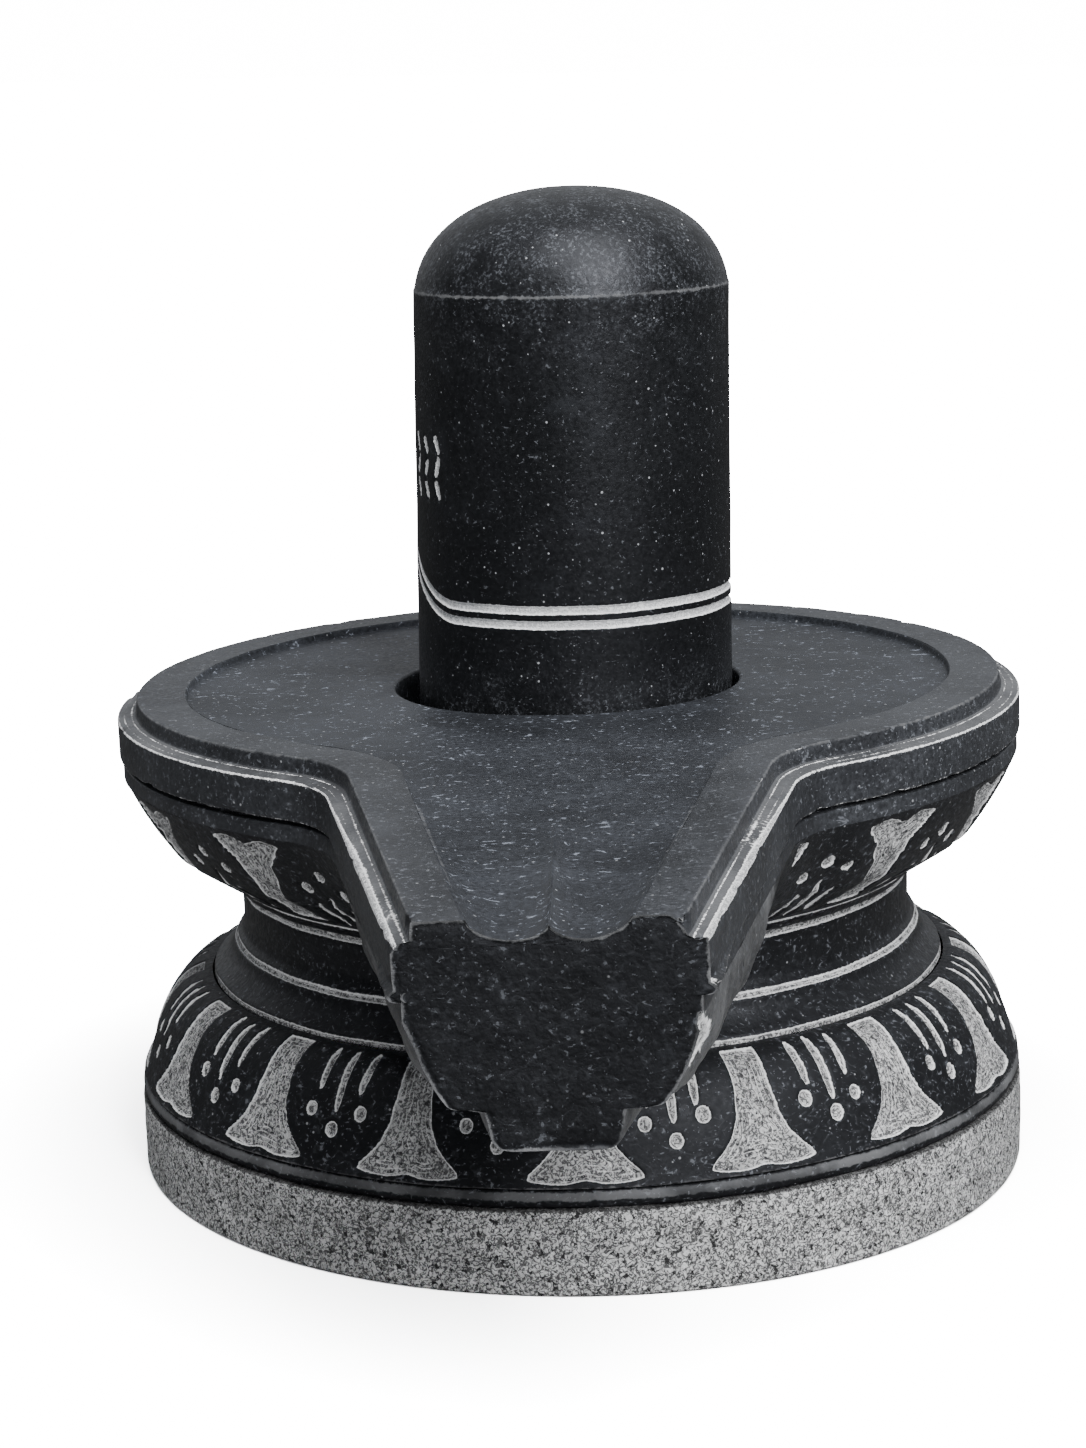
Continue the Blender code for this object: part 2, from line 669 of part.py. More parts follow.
def basin(material):
    """Build the spouted basin with its neck and bell foot, one carved stone."""
    skin = Skin()
    back = back_angles()
    bell_bottom = PLINTH_HEIGHT + BEAD_HEIGHT
    bell_top = bell_bottom + BELL_HEIGHT
    neck_bottom = bell_top
    bowl_bottom = neck_bottom + COLLAR_HEIGHT + NECK_HEIGHT + BOWL_FOOT_HEIGHT
    levels = bowl_levels(bowl_bottom)
    first = Keyhole(*levels[0])

    root = [blend(first.arc_angle, back[0], k / ROOT_STEPS) for k in range(ROOT_STEPS)]
    root_left = [360.0 - blend(first.arc_angle, 360.0 - back[-1], k / ROOT_STEPS)
                 for k in range(ROOT_STEPS)]
    front = [blend(-first.arc_angle, first.arc_angle, k / ARC_STEPS)
             for k in range(1, ARC_STEPS)]
    turns = front + root + back + root_left[::-1]
    start = turns.index(seam_angle())
    turns = turns[start:] + [a + 360.0 for a in turns[:start]]

    def ring(radius, height):
        return [polar(a, radius, height) for a in turns]

    foot = [ring(*row) for row in foot_profile()]
    skin.face(foot[0])
    for lower, upper in zip(foot, foot[1:]):
        skin.strip(lower, upper, True)
    bell_rows = [ring(*row) for row in bell_profile(bell_bottom)]
    skin.strip(foot[-1], bell_rows[0], True)
    grid = [row + [row[0]] for row in bell_rows]
    around = turns + [turns[0] + 360.0]
    wall = Wall(grid, [around] * len(grid))
    wall.carve(skin, motif_cuts(wall, BELL_PETAL, BELL_STROKES, BELL_DOTS, -1.0,
                                around[0], around[-1]))
    neck = [ring(*row) for row in neck_profile(neck_bottom)]
    skin.strip(bell_rows[-1], neck[0], True)
    for lower, upper in zip(neck, neck[1:]):
        skin.strip(lower, upper, True)
    bowl_foot = ring(first.radius, bowl_bottom)
    skin.strip(neck[-1], bowl_foot, True)

    contours = [Keyhole(*level).contour(back) for level in levels]
    under_arc = [polar(a, first.radius, bowl_bottom) for a in front]
    sides = SPOUT_STEPS + FILLET_STEPS
    lowest = contours[0]
    skin.face(lowest[:sides + 1] + under_arc[::-1] + lowest[len(lowest) - sides - 1:])
    angle_rows = [[math.degrees(math.atan2(p.x, -p.y)) % 360.0 for p in row]
                  for row in contours]
    bowl_wall = Wall(contours, angle_rows)
    bowl_wall.carve(skin, motif_cuts(bowl_wall, BOWL_PETAL, BOWL_STROKES, BOWL_DOTS,
                                     SPOUT_CLEAR_ANGLE, 0.0, 360.0))
    rims = [Keyhole(*level).contour(back) for level in rim_levels(levels[-1][2])]
    rim = rims[-1][0].z
    rows = contours[-1:] + rims
    for lower, upper in zip(rows, rows[1:]):
        skin.strip(lower, upper, False)
    mouth_floor = dish(skin, rims[-1], rim, back, rim - DISH_DEPTH)
    outline = contours + rims
    right = [row[0] for row in outline]
    left = [row[-1] for row in outline]
    skin.face(right + mouth_floor + left[::-1])
    skin.build("yoni_basin", material, (0.0, PLINTH_HEIGHT, rim), (0.0, BODY_LEAN, RIM_LEAN))
    return rim - DISH_DEPTH


def ring_height(angle, base):
    """Return the height of an engraved line, which peaks on the carved side."""
    away = abs((angle - CARVED_SIDE + 180.0) % 360.0 - 180.0)
    share = max(0.0, 1 - away / PEAK_HALF_ANGLE)
    return base + PEAK_RISE * share ** PEAK_SHARPNESS


def lingam(material, dish_floor):
    """Build the domed shaft that stands loose in the socket."""
    skin = Skin()
    foot = dish_floor - SOCKET_DEPTH + REST_GAP
    crease = dish_floor + SHAFT_SHOWS
    step = 360.0 / SHAFT_COLUMNS
    turns = [CARVED_SIDE + 180.0 + step * k for k in range(SHAFT_COLUMNS + 1)]

    def radius_at(height):
        share = max(0.0, (height - dish_floor) / SHAFT_SHOWS)
        return blend(SHAFT_RADIUS, SHAFT_TOP_RADIUS, share)

    def row(height_of, inset=0.0):
        points = []
        for angle in turns:
            height = height_of(angle)
            point = polar(angle, radius_at(height) - inset, height)
            point.x += SHAFT_OFFSET + SHAFT_LEAN * (height - dish_floor)
            points.append(point)
        points[-1] = points[0]
        return points

    def level(height):
        return lambda angle: height

    def line(rise):
        return lambda angle: ring_height(angle, dish_floor + RING_LOW + rise)

    rows = [row(level(foot), SHAFT_CHAMFER), row(level(foot + SHAFT_CHAMFER)),
            row(level(dish_floor))]
    for rise in (0.0, RING_SPACING):
        rows += [row(line(rise - RING_WIDTH / 2)), row(line(rise), RING_DEPTH),
                 row(line(rise + RING_WIDTH / 2))]
    panel_low = RING_LOW + RING_SPACING + RING_WIDTH / 2
    panel = [rows[-1]]
    for share in (1 / 3, 2 / 3):
        panel.append(row(lambda a, s=share: blend(ring_height(a, dish_floor + panel_low),
                                                  crease, s)))
    panel.append(row(level(crease)))
    skin.face(rows[0][:-1])
    for lower, upper in zip(rows, rows[1:]):
        skin.strip(lower, upper, False)
    wall = Wall(panel, [turns] * len(panel))
    wall.carve(skin, sign_cuts(wall, turns, panel_low))
    top = row(level(crease + DOME_INSET), DOME_INSET)
    skin.strip(panel[-1], top, False)
    full = DOME_HEIGHT + DOME_SINK
    started = (1 - (DOME_SINK / full) ** DOME_SQUARENESS) ** (1 / DOME_SQUARENESS)
    for k in range(1, DOME_ROWS):
        rise = DOME_HEIGHT * math.sin(math.pi / 2 * k / DOME_ROWS)
        share = (DOME_SINK + rise) / full
        width = (1 - share ** DOME_SQUARENESS) ** (1 / DOME_SQUARENESS) / started
        height = crease + rise
        upper = row(level(height),
                    radius_at(height) - (SHAFT_TOP_RADIUS - DOME_INSET) * width)
        skin.strip(top, upper, False)
        top = upper
    peak = Vector((SHAFT_OFFSET + SHAFT_LEAN * (SHAFT_SHOWS + DOME_HEIGHT), 0.0,
                   crease + DOME_HEIGHT))
    for a, b in zip(top, top[1:]):
        skin.face((a, b, peak))
    skin.build("lingam", material, (0.0,), (BODY_LEAN,))


def sign_cuts(wall, turns, low):
    """Return the rows of short strokes on the carved side of the shaft.

    low is the height over the dish of the wall's lower edge, away from the peak.
    """
    def up_at(angle, height):
        edge = ring_height(angle, low)
        return wall.height * (height - edge) / (SHAFT_SHOWS - edge)

    carved = CARVED_SIDE
    first = ring_height(carved, low) + PANEL_RISE
    while carved < turns[0]:
        carved += 360.0
    cuts = []
    middle = (SIGNS_IN_ROW - 1) / 2
    for k in range(SIGN_ROWS):
        height = first + SIGN_ROW_SPACING * k
        tilt = SIGN_LENGTH * SIGN_TILT * (1 if k % 2 else -1)
        for i in range(SIGNS_IN_ROW):
            angle = carved + (i - middle) * SIGN_ANGLE
            length = SIGN_LENGTH * (SIGN_SHARE - SIGN_SHORTER * (i % 2))
            foot = up_at(angle, height)
            top = up_at(angle, height + length)
            along = wall.at_angle(angle, foot)
            cuts.append(stroke_cut((along - tilt / 2, foot), (along + tilt / 2, top),
                                   SIGN_WIDTH, SIGN_DEPTH))
    return cuts


def main():
    """Build both stones."""
    clear_scene()
    dark_stone = stone("oiled_stone", (0.030, 0.031, 0.034), 0.42)
    shaft_stone = stone("polished_stone", (0.018, 0.019, 0.021), 0.35)
    dish_floor = basin(dark_stone)
    lingam(shaft_stone, dish_floor)


main()
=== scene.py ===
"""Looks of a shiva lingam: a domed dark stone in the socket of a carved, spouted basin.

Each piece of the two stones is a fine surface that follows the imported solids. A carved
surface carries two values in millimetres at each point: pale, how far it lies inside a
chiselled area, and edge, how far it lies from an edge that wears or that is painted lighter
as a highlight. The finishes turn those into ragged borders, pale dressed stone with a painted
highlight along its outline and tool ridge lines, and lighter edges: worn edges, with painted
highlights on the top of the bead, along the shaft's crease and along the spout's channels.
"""

import logging
import math
from dataclasses import dataclass, field
from enum import Enum
from itertools import product

import bpy
import numpy as np
from mathutils import Matrix, Vector


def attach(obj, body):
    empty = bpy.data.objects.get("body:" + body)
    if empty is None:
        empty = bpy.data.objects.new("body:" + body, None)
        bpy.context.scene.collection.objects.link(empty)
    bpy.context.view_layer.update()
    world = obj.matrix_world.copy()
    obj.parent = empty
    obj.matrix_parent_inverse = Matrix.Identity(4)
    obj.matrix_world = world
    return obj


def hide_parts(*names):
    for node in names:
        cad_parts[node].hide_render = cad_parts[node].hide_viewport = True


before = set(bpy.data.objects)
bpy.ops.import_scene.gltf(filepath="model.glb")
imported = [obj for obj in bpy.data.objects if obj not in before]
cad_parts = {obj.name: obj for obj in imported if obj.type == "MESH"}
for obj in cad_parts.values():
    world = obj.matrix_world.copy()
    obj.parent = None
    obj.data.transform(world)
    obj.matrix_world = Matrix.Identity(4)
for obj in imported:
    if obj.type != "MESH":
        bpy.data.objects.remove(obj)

LOG = logging.getLogger("lingam")
MILLIMETRE = 0.001
# Further than any border, wear or painted highlight reaches, in millimetres.
FAR_AWAY = 9.0
# How far the finer columns of a turned piece reach to each side of the spout, in degrees.
FRONT_REACH = 95.0
# Where a chiselled floor begins outside its border and levels off inside it, in millimetres.
CUT_STARTS, CUT_LEVELS_OFF = -0.15, 0.7
# How much and how coarsely the chisel's marks roughen that floor, as a share and in metres.
MARKS_SHARE, MARKS_GRAIN = 0.45, 0.0022


# Geometry that the pieces share


def value_noise(points: np.ndarray, grain: float, seed: int) -> np.ndarray:
    """Return smooth noise from -1 to 1.

    Args:
        points: places in metres, with x, y and z on the last axis.
        grain: the size of a bump in metres.
        seed: a number that picks one pattern.

    Returns:
        One value for each place.
    """
    scaled = points / grain
    cell = np.floor(scaled).astype(np.int64)
    part = scaled - cell
    part = part * part * (3.0 - 2.0 * part)
    total = np.zeros(points.shape[:-1])
    for corner in product((0, 1), repeat=3):
        mixed = ((cell + corner) * (73856093, 19349663, 83492791)).sum(axis=-1) + seed * 7919
        mixed = (mixed ^ (mixed >> 13)) * 1274126177
        mixed = (mixed ^ (mixed >> 16)) & 0xFFFF
        weight = np.prod(np.where(corner, part, 1.0 - part), axis=-1)
        total += (mixed / 32767.5 - 1.0) * weight
    return total


def rough(points: np.ndarray, grain: float, octaves: int, seed: int) -> np.ndarray:
    """Return noise with finer and finer bumps added.

    Args:
        points: places in metres.
        grain: the size of the largest bumps in metres.
        octaves: how many sizes of bump are added, each half the last.
        seed: a number that picks one pattern.

    Returns:
        One value for each place, mostly from -1 to 1.
    """
    total = np.zeros(points.shape[:-1])
    for k in range(octaves):
        total += value_noise(points, grain / 2 ** k, seed + k) * 0.5 ** k
    return total / (2.0 - 0.5 ** (octaves - 1))


@dataclass(frozen=True)
class Lumps:
    """Bumps of a depth and a grain in metres, with finer ones added."""

    depth: float
    grain: float
    octaves: int
    seed: int

    def at(self, points: np.ndarray) -> np.ndarray:
        """Return how far the bumps stand out at each place."""
        return self.depth * rough(points, self.grain, self.octaves, self.seed)


def smooth_step(low: float, high: float, value: np.ndarray) -> np.ndarray:
    """Return 0 below low, 1 above high and a smooth rise between."""
    share = np.clip((value - low) / (high - low), 0.0, 1.0)
    return share * share * (3.0 - 2.0 * share)


def fading(distance: np.ndarray, reach: float) -> np.ndarray:
    """Return 1 at no distance, falling smoothly towards 0 beyond the reach."""
    return np.exp(-(distance / reach) ** 2)


def folded(angles: np.ndarray) -> np.ndarray:
    """Return angles in degrees brought to between -180 and 180."""
    return (angles + 180.0) % 360.0 - 180.0


def rounded(path: list[tuple[float, ...]], radius: float, steps: int = 4) -> np.ndarray:
    """Round the inner corners of a path.

    Args:
        path: the corners, each a row of values in metres.
        radius: how far from a corner the round starts, in metres.
        steps: how many short runs make one round.

    Returns:
        The path as rows.
    """
    corners = np.array(path, dtype=float)
    runs = np.linalg.norm(np.diff(corners, axis=0), axis=1)
    rows = [corners[0]]
    for k in range(1, len(corners) - 1):
        before = min(radius, runs[k - 1] * 0.45) / runs[k - 1]
        after = min(radius, runs[k] * 0.45) / runs[k]
        start = corners[k] + (corners[k - 1] - corners[k]) * before
        end = corners[k] + (corners[k + 1] - corners[k]) * after
        for i in range(steps + 1):
            t = i / steps
            rows.append((1 - t) ** 2 * start + 2 * t * (1 - t) * corners[k] + t * t * end)
    rows.append(corners[-1])
    return np.array(rows)


def sampled(path: np.ndarray, step: float) -> np.ndarray:
    """Return a path with points added, so that no run is longer than step in metres."""
    rows = [path[:1]]
    for start, end in zip(path, path[1:]):
        count = max(1, math.ceil(np.linalg.norm(end - start) / step))
        shares = np.arange(1, count + 1)[:, None] / count
        rows.append(start + (end - start) * shares)
    return np.concatenate(rows)


def lengths(path: np.ndarray) -> np.ndarray:
    """Return how far along a path each of its points lies, in metres."""
    return np.concatenate(([0.0], np.cumsum(np.linalg.norm(np.diff(path, axis=0), axis=1))))


def corner_distance(path: np.ndarray, corners: list[tuple[float, ...]]) -> np.ndarray:
    """Return how far each point of a path lies from the nearest of some corners."""
    gaps = np.linalg.norm(path[:, None, :] - np.array(corners)[None, :, :], axis=2)
    return gaps.min(axis=1)


def outward(points: np.ndarray, closed: bool) -> np.ndarray:
    """Return the direction out of the stone at each point of a grid.

    Args:
        points: a grid of rows and columns of places.
        closed: whether the last column meets the first.

    Returns:
        A unit vector for each place.
    """
    if closed:
        along = np.roll(points, -1, axis=1) - np.roll(points, 1, axis=1)
    else:
        along = np.gradient(points, axis=1)
    up = np.gradient(points, axis=0)
    normal = np.cross(along, up)
    size = np.linalg.norm(normal, axis=-1, keepdims=True)
    return normal / np.maximum(size, 1e-12)


@dataclass(frozen=True)
class Lean:
    """The uneven foot turns what stands on it towards -X, by degrees at some heights."""

    heights: tuple[float, ...] = (0.0, 0.0278, 0.1659)
    angles: tuple[float, ...] = (0.0, 0.83, 1.15)

    def applied(self, points: np.ndarray) -> np.ndarray:
        """Return points turned by the lean at their height."""
        turn = np.radians(np.interp(points[..., 2], self.heights, self.angles))
        cosine, sine = np.cos(turn), np.sin(turn)
        x, y, z = points[..., 0], points[..., 1], points[..., 2]
        return np.stack((x * cosine - z * sine, y, x * sine + z * cosine), axis=-1)


@dataclass
class Sheet:
    """A grid of points with the values that the finishes read, in millimetres."""

    points: np.ndarray
    closed: bool = False
    pale: np.ndarray | None = None
    edge: np.ndarray | None = None

    def value(self, name: str) -> np.ndarray:
        """Return the pale or edge value of each point, far off where none was given."""
        given = getattr(self, name)
        shape = self.points.shape[:2]
        away = -FAR_AWAY if name == "pale" else FAR_AWAY
        return np.full(shape, away) if given is None else np.broadcast_to(given, shape)


def stone_piece(name: str, sheets: list[Sheet], lean: Lean) -> bpy.types.Object:
    """Make one object of some sheets.

    Args:
        name: the piece's name.
        sheets: the surfaces, whose columns run to the left of their rows' outward side.
        lean: how the piece leans.

    Returns:
        The new object, smooth shaded, in the scene's collection.
    """
    places, corners, start = [], [], 0
    for sheet in sheets:
        rows, columns = sheet.points.shape[:2]
        numbers = np.arange(rows * columns).reshape(rows, columns) + start
        if sheet.closed:
            numbers = np.concatenate((numbers, numbers[:, :1]), axis=1)
        quads = np.stack((numbers[:-1, :-1], numbers[:-1, 1:], numbers[1:, 1:],
                          numbers[1:, :-1]), axis=-1)
        corners.append(quads.reshape(-1, 4))
        places.append(sheet.points.reshape(-1, 3))
        start += rows * columns
    faces = np.concatenate(corners)
    mesh = bpy.data.meshes.new(name)
    mesh.vertices.add(start)
    mesh.vertices.foreach_set("co", lean.applied(np.concatenate(places)).ravel())
    mesh.loops.add(faces.size)
    mesh.loops.foreach_set("vertex_index", faces.ravel())
    mesh.polygons.add(len(faces))
    mesh.polygons.foreach_set("loop_start", np.arange(len(faces)) * 4)
    mesh.update(calc_edges=True)
    mesh.shade_smooth()
    for attribute in ("pale", "edge"):
        layer = mesh.attributes.new(attribute, "FLOAT", "POINT")
        values = np.concatenate([sheet.value(attribute).ravel() for sheet in sheets])
        layer.data.foreach_set("value", values.astype(np.float32))
    piece = bpy.data.objects.new(name, mesh)
    bpy.context.scene.collection.objects.link(piece)
    LOG.info("%s: %d triangles", name, len(faces) * 2)
    return piece


def polar(angles: np.ndarray, radius: np.ndarray, height: np.ndarray) -> np.ndarray:
    """Return places at angles in degrees from -Y towards +X, at radii and heights."""
    turn = np.radians(angles)
    x, y, z = np.broadcast_arrays(radius * np.sin(turn), -radius * np.cos(turn), height)
    return np.stack((x, y, z), axis=-1)


def finer_in_front(count_front: int, count_back: int) -> np.ndarray:
    """Return angles round a turned piece, closer together on the side with the spout.

    Args:
        count_front: how many columns the front takes.
        count_back: how many columns the rest takes.

    Returns:
        The angles in degrees, rising.
    """
    front = np.linspace(-FRONT_REACH, FRONT_REACH, count_front, endpoint=False)
    back = np.linspace(FRONT_REACH, 360.0 - FRONT_REACH, count_back, endpoint=False)
    return np.concatenate((front, back))


# Carving


class Flare(Enum):
    """The end at which a petal widens and its neighbours' dots are drilled."""

    DOWN = "down"
    UP = "up"


def tapered(share: np.ndarray) -> np.ndarray:
    """Return how wide a hand-cut stroke is along its length, at most 1."""
    return np.clip(4.4 * share * (1 - share) + 0.10, 0.0, 1.0) ** 0.5


@dataclass(frozen=True)
class Motifs:
    """Petals round a wall, with three strokes and three dots in each gap.

    Shares run along the wall's height from the flared end, half widths are in degrees, and
    sizes are in millimetres.
    """

    flare: Flare
    petal: tuple[tuple[float, float], ...]
    strokes: tuple[tuple[float, float, float], ...]
    dots: tuple[tuple[float, float], ...]
    notch: float
    count: int = 16
    phase: float = 1.4
    drift: float = 2.6
    stroke_width: float = 2.7
    dot_radius: float = 2.25
    seed: int = 5
    foot_bow: float = 0.03
    notch_width: float = 1.5
    widths_vary: float = 0.05
    softened: float = 0.4
    soft_reach: float = 0.055
    steepest: float = 1.2

    def centre(self, number: np.ndarray) -> np.ndarray:
        """Return the angle of a petal, or of a gap at a half number."""
        even = 360.0 / self.count * number
        return self.phase + even - self.drift * np.sin(np.radians(even))

    def nearest(self, angles: np.ndarray, shift: float) -> tuple[np.ndarray, np.ndarray]:
        """Find the nearest petal or gap.

        Args:
            angles: places round the wall in degrees.
            shift: 0 for petals and 0.5 for the gaps after them.

        Returns:
            The number of the nearest one, and how far past its middle each place lies.
        """
        middles = self.centre(np.arange(self.count) + shift)
        away = folded(angles[..., None] - middles)
        number = np.abs(away).argmin(axis=-1)
        return number, np.take_along_axis(away, number[..., None], axis=-1)[..., 0]

    def depth_inside(self, angles: np.ndarray, shares: np.ndarray, radius: np.ndarray,
                     height: float) -> np.ndarray:
        """Tell how far inside a carved motif each place of the wall lies.

        Args:
            angles: places round the wall in degrees.
            shares: places up the wall, from 0 to 1.
            radius: the wall's radius at each place, in metres.
            height: the wall's height along its slope, in metres.

        Returns:
            Millimetres inside the nearest motif, less than 0 outside.
        """
        flared = shares if self.flare is Flare.DOWN else 1.0 - shares
        up = flared * height / MILLIMETRE
        per_degree = np.radians(1.0) * radius / MILLIMETRE
        tall = height / MILLIMETRE
        wobble = np.random.default_rng(self.seed).uniform(-1.0, 1.0, (self.count, 16))
        aside, widened = wobble[:, 0], wobble[:, 1]
        starts, ends, halves = wobble[:, 2:5], wobble[:, 5:8], wobble[:, 8:11]
        sizes, shifts = wobble[:, 11:14], wobble[:, 13:16]
        number, away = self.nearest(angles, 0.0)
        inside = self.petal_depth(away + 0.25 * aside[number], flared, up, per_degree, tall,
                                  widened[number])
        number, away = self.nearest(angles, 0.5)
        for k, (shift, low, high) in enumerate(self.strokes):
            hand = starts[number, k]
            begin = (low + 0.025 * hand) * tall
            end = (high + 0.015 * ends[number, k]) * tall
            share = np.clip((up - begin) / (end - begin), 0.0, 1.0)
            bow = (0.35 * shift / 3.2 + 0.15 * hand) * (share - 0.5)
            across = np.abs(away - shift - bow) * per_degree
            half = self.stroke_width / 2 * tapered(share) * (1.0 + 0.12 * halves[number, k])
            inside = np.maximum(inside, np.minimum(half - across,
                                                   np.minimum(up - begin, end - up)))
        for k, (shift, level) in enumerate(self.dots):
            hand = sizes[number, k]
            rise = up - (level + 0.02 * hand) * tall
            across = (away - shift - 0.2 * shifts[number, k]) * per_degree
            size = self.dot_radius * (1.0 + 0.08 * hand)
            inside = np.maximum(inside, size - np.hypot(across, rise * 0.88))
        return inside

    def petal_depth(self, away: np.ndarray, flared: np.ndarray, up: np.ndarray,
                    per_degree: np.ndarray, tall: float, hand: np.ndarray) -> np.ndarray:
        """Tell how far inside the nearest petal each place lies.

        Args:
            away: degrees from the petal's middle.
            flared: shares from the flared end.
            up: millimetres from the flared end.
            per_degree: millimetres for each degree round the wall.
            tall: the wall's height in millimetres.
            hand: a number from -1 to 1 that widens or narrows the petal.

        Returns:
            Millimetres inside the petal, less than 0 outside.
        """
        shares, halves = np.array(self.petal).T
        fine = np.linspace(shares[0], shares[-1], 60)
        weights = np.exp(-0.5 * ((fine[:, None] - shares[None, :]) / self.soft_reach) ** 2)
        smoothed = self.softened * (weights @ halves) / weights.sum(axis=1)
        soft = (1 - self.softened) * np.interp(fine, shares, halves) + smoothed
        half = np.interp(flared, fine, soft) * (1.0 + self.widths_vary * hand)
        across = np.abs(away) / half
        lobes = self.notch * fading(away, self.notch_width) + self.foot_bow * across ** 4
        foot = up - (shares[0] + lobes) * tall
        head = shares[-1] * tall - up
        slope = np.gradient(soft, fine * tall).clip(-self.steepest, self.steepest)
        slope *= per_degree.mean()
        lengthen = np.sqrt(1.0 + np.interp(flared, fine, slope) ** 2)
        return np.minimum((1.0 - across) * half * per_degree / lengthen, np.minimum(foot, head))


def chiselled(points: np.ndarray, inside: np.ndarray, depth: float, seed: int) -> np.ndarray:
    """Cut a carved area into the stone.

    Args:
        points: the places.
        inside: millimetres inside the cut.
        depth: the depth of the cut's floor in metres.
        seed: a number that picks one pattern of chisel marks.

    Returns:
        How deep the chisel cut at each place, in metres.
    """
    floor = smooth_step(CUT_STARTS, CUT_LEVELS_OFF, inside)
    marks = rough(points, MARKS_GRAIN, 2, seed)
    return depth * floor * (1.0 + MARKS_SHARE * marks)


# The spouted outline


@dataclass(frozen=True)
class Keyhole:
    """The basin's outline: a round bowl that runs out into a tapered spout."""

    band_radius: float = 0.1508
    reach: float = 0.3120
    mouth_width: float = 0.0774
    root_width: float = 0.1364
    fillet: float = 0.0400
    fixed_angle: float = 45.0
    spout_columns: int = 96
    fillet_columns: int = 26
    root_columns: int = 8
    back_columns: int = 480

    @property
    def side_columns(self) -> int:
        """How many columns one side takes before the round back."""
        return self.spout_columns + self.fillet_columns + self.root_columns

    def side(self, inset: float, mouth_inset: float) -> np.ndarray:
        """Return the +X side from the mouth to the round back.

        Args:
            inset: how far the bowl's wall lies inside the band, in metres.
            mouth_inset: the same at the mouth.

        Returns:
            Rows of x and y, with y rising towards the mouth.
        """
        mouth = np.array((self.mouth_width / 2 - mouth_inset, self.reach))
        root = np.array((self.root_width / 2 - inset, self.band_radius))
        fillet = self.fillet + inset
        along = (mouth - root) / np.linalg.norm(mouth - root)
        out = np.array((along[1], -along[0]))
        start = root + out * fillet
        half = start @ along
        reach = self.band_radius - inset + fillet
        centre = start + along * (-half + math.sqrt(half * half - start @ start + reach * reach))
        line_start = centre - out * fillet
        shares = np.arange(self.spout_columns)[:, None] / self.spout_columns
        straight = mouth + (line_start - mouth) * shares
        first = math.atan2(*(line_start - centre)[::-1])
        last = math.atan2(*(-centre)[::-1])
        sweep = (last - first + math.pi) % math.tau - math.pi
        turns = first + sweep * np.arange(self.fillet_columns) / self.fillet_columns
        arc = centre + fillet * np.stack((np.cos(turns), np.sin(turns)), axis=1)
        begin = math.atan2(centre[0], centre[1])
        turns = np.linspace(begin, math.radians(self.fixed_angle), self.root_columns,
                            endpoint=False)
        root_arc = (self.band_radius - inset) * np.stack((np.sin(turns), np.cos(turns)), axis=1)
        return np.concatenate((straight, arc, root_arc))

    def outline(self, inset: float, mouth_inset: float, height: float,
                mouth_rise: float = 0.0) -> np.ndarray:
        """Return the outline at one level, from the right of the mouth round to its left.

        Args:
            inset: how far the bowl's wall lies inside the band, in metres.
            mouth_inset: the same at the mouth.
            height: the level in metres.
            mouth_rise: how much higher the mouth lies.

        Returns:
            One row of places.
        """
        side = self.side(inset, mouth_inset)
        count = len(side)
        rise = mouth_rise * np.clip(1 - np.arange(count) / self.spout_columns, 0.0, 1.0)
        right = np.stack((side[:, 0], -side[:, 1], height + rise), axis=1)
        left = right[::-1] * (-1.0, 1.0, 1.0)
        turns = np.linspace(self.fixed_angle, 360.0 - self.fixed_angle, self.back_columns)
        back = polar(turns, np.array(self.band_radius - inset), np.array(height))
        return np.concatenate((right, back, left))

    def levels(self, path: np.ndarray) -> np.ndarray:
        """Return the outlines of many levels as one grid."""
        return np.stack([self.outline(*row) for row in path])


# The carved block, from the ground up


@dataclass(frozen=True)
class Levels:
    """Heights and radii that neighbouring pieces of the block share, in metres."""

    foot_radius: float = 0.1500
    foot_chamfer: float = 0.0008
    plinth_height: float = 0.0278
    bead_height: float = 0.0064
    bead_quirk: float = 0.0024
    bell_foot_radius: float = 0.1493
    bell_height: float = 0.0331
    bell_top_radius: float = 0.1245
    collar_height: float = 0.0120
    neck_height: float = 0.0175
    neck_radius: float = 0.1128
    bowl_foot_height: float = 0.0055
    bowl_foot_radius: float = 0.1178
    belly_height: float = 0.0112
    shelf_height: float = 0.0009
    shoulder_height: float = 0.0234
    shoulder_radius: float = 0.1498
    frieze_height: float = 0.0052
    quirk_height: float = 0.0016
    band_height: float = 0.0124
    ledge_width: float = 0.0062
    ledge_rise: float = 0.0010
    step_height: float = 0.0050
    step_lean: float = 0.0006
    rim_width: float = 0.0166
    dish_depth: float = 0.0024
    mouth_shrink: float = 0.78
    mouth_undercut: float = 0.0012
    mouth_rise: float = 0.0016

    @property
    def bead_top(self) -> float:
        """Height of the bead's top."""
        return self.plinth_height + self.bead_height

    @property
    def bell_top(self) -> float:
        """Height of the bell's top."""
        return self.bead_top + self.bell_height

    @property
    def waist(self) -> float:
        """Height of the collar's top."""
        return self.bell_top + self.collar_height

    @property
    def neck_top(self) -> float:
        """Height of the neck's top."""
        return self.waist + self.neck_height

    @property
    def bowl_bottom(self) -> float:
        """Height of the carved bowl's lower edge."""
        return self.neck_top + self.bowl_foot_height

    @property
    def shoulder(self) -> float:
        """Height of the carved bowl's upper edge."""
        return self.bowl_bottom + self.belly_height + self.shelf_height + self.shoulder_height

    @property
    def band(self) -> float:
        """Height of the rim band's lower edge."""
        return self.shoulder + self.frieze_height + self.quirk_height

    @property
    def ledge(self) -> float:
        """Height of the rim band's upper edge."""
        return self.band + self.band_height

    @property
    def rim(self) -> float:
        """Height of the flat rim."""
        return self.ledge + self.ledge_rise + self.step_height

    @property
    def dish_floor(self) -> float:
        """Height of the dish's floor."""
        return self.rim - self.dish_depth


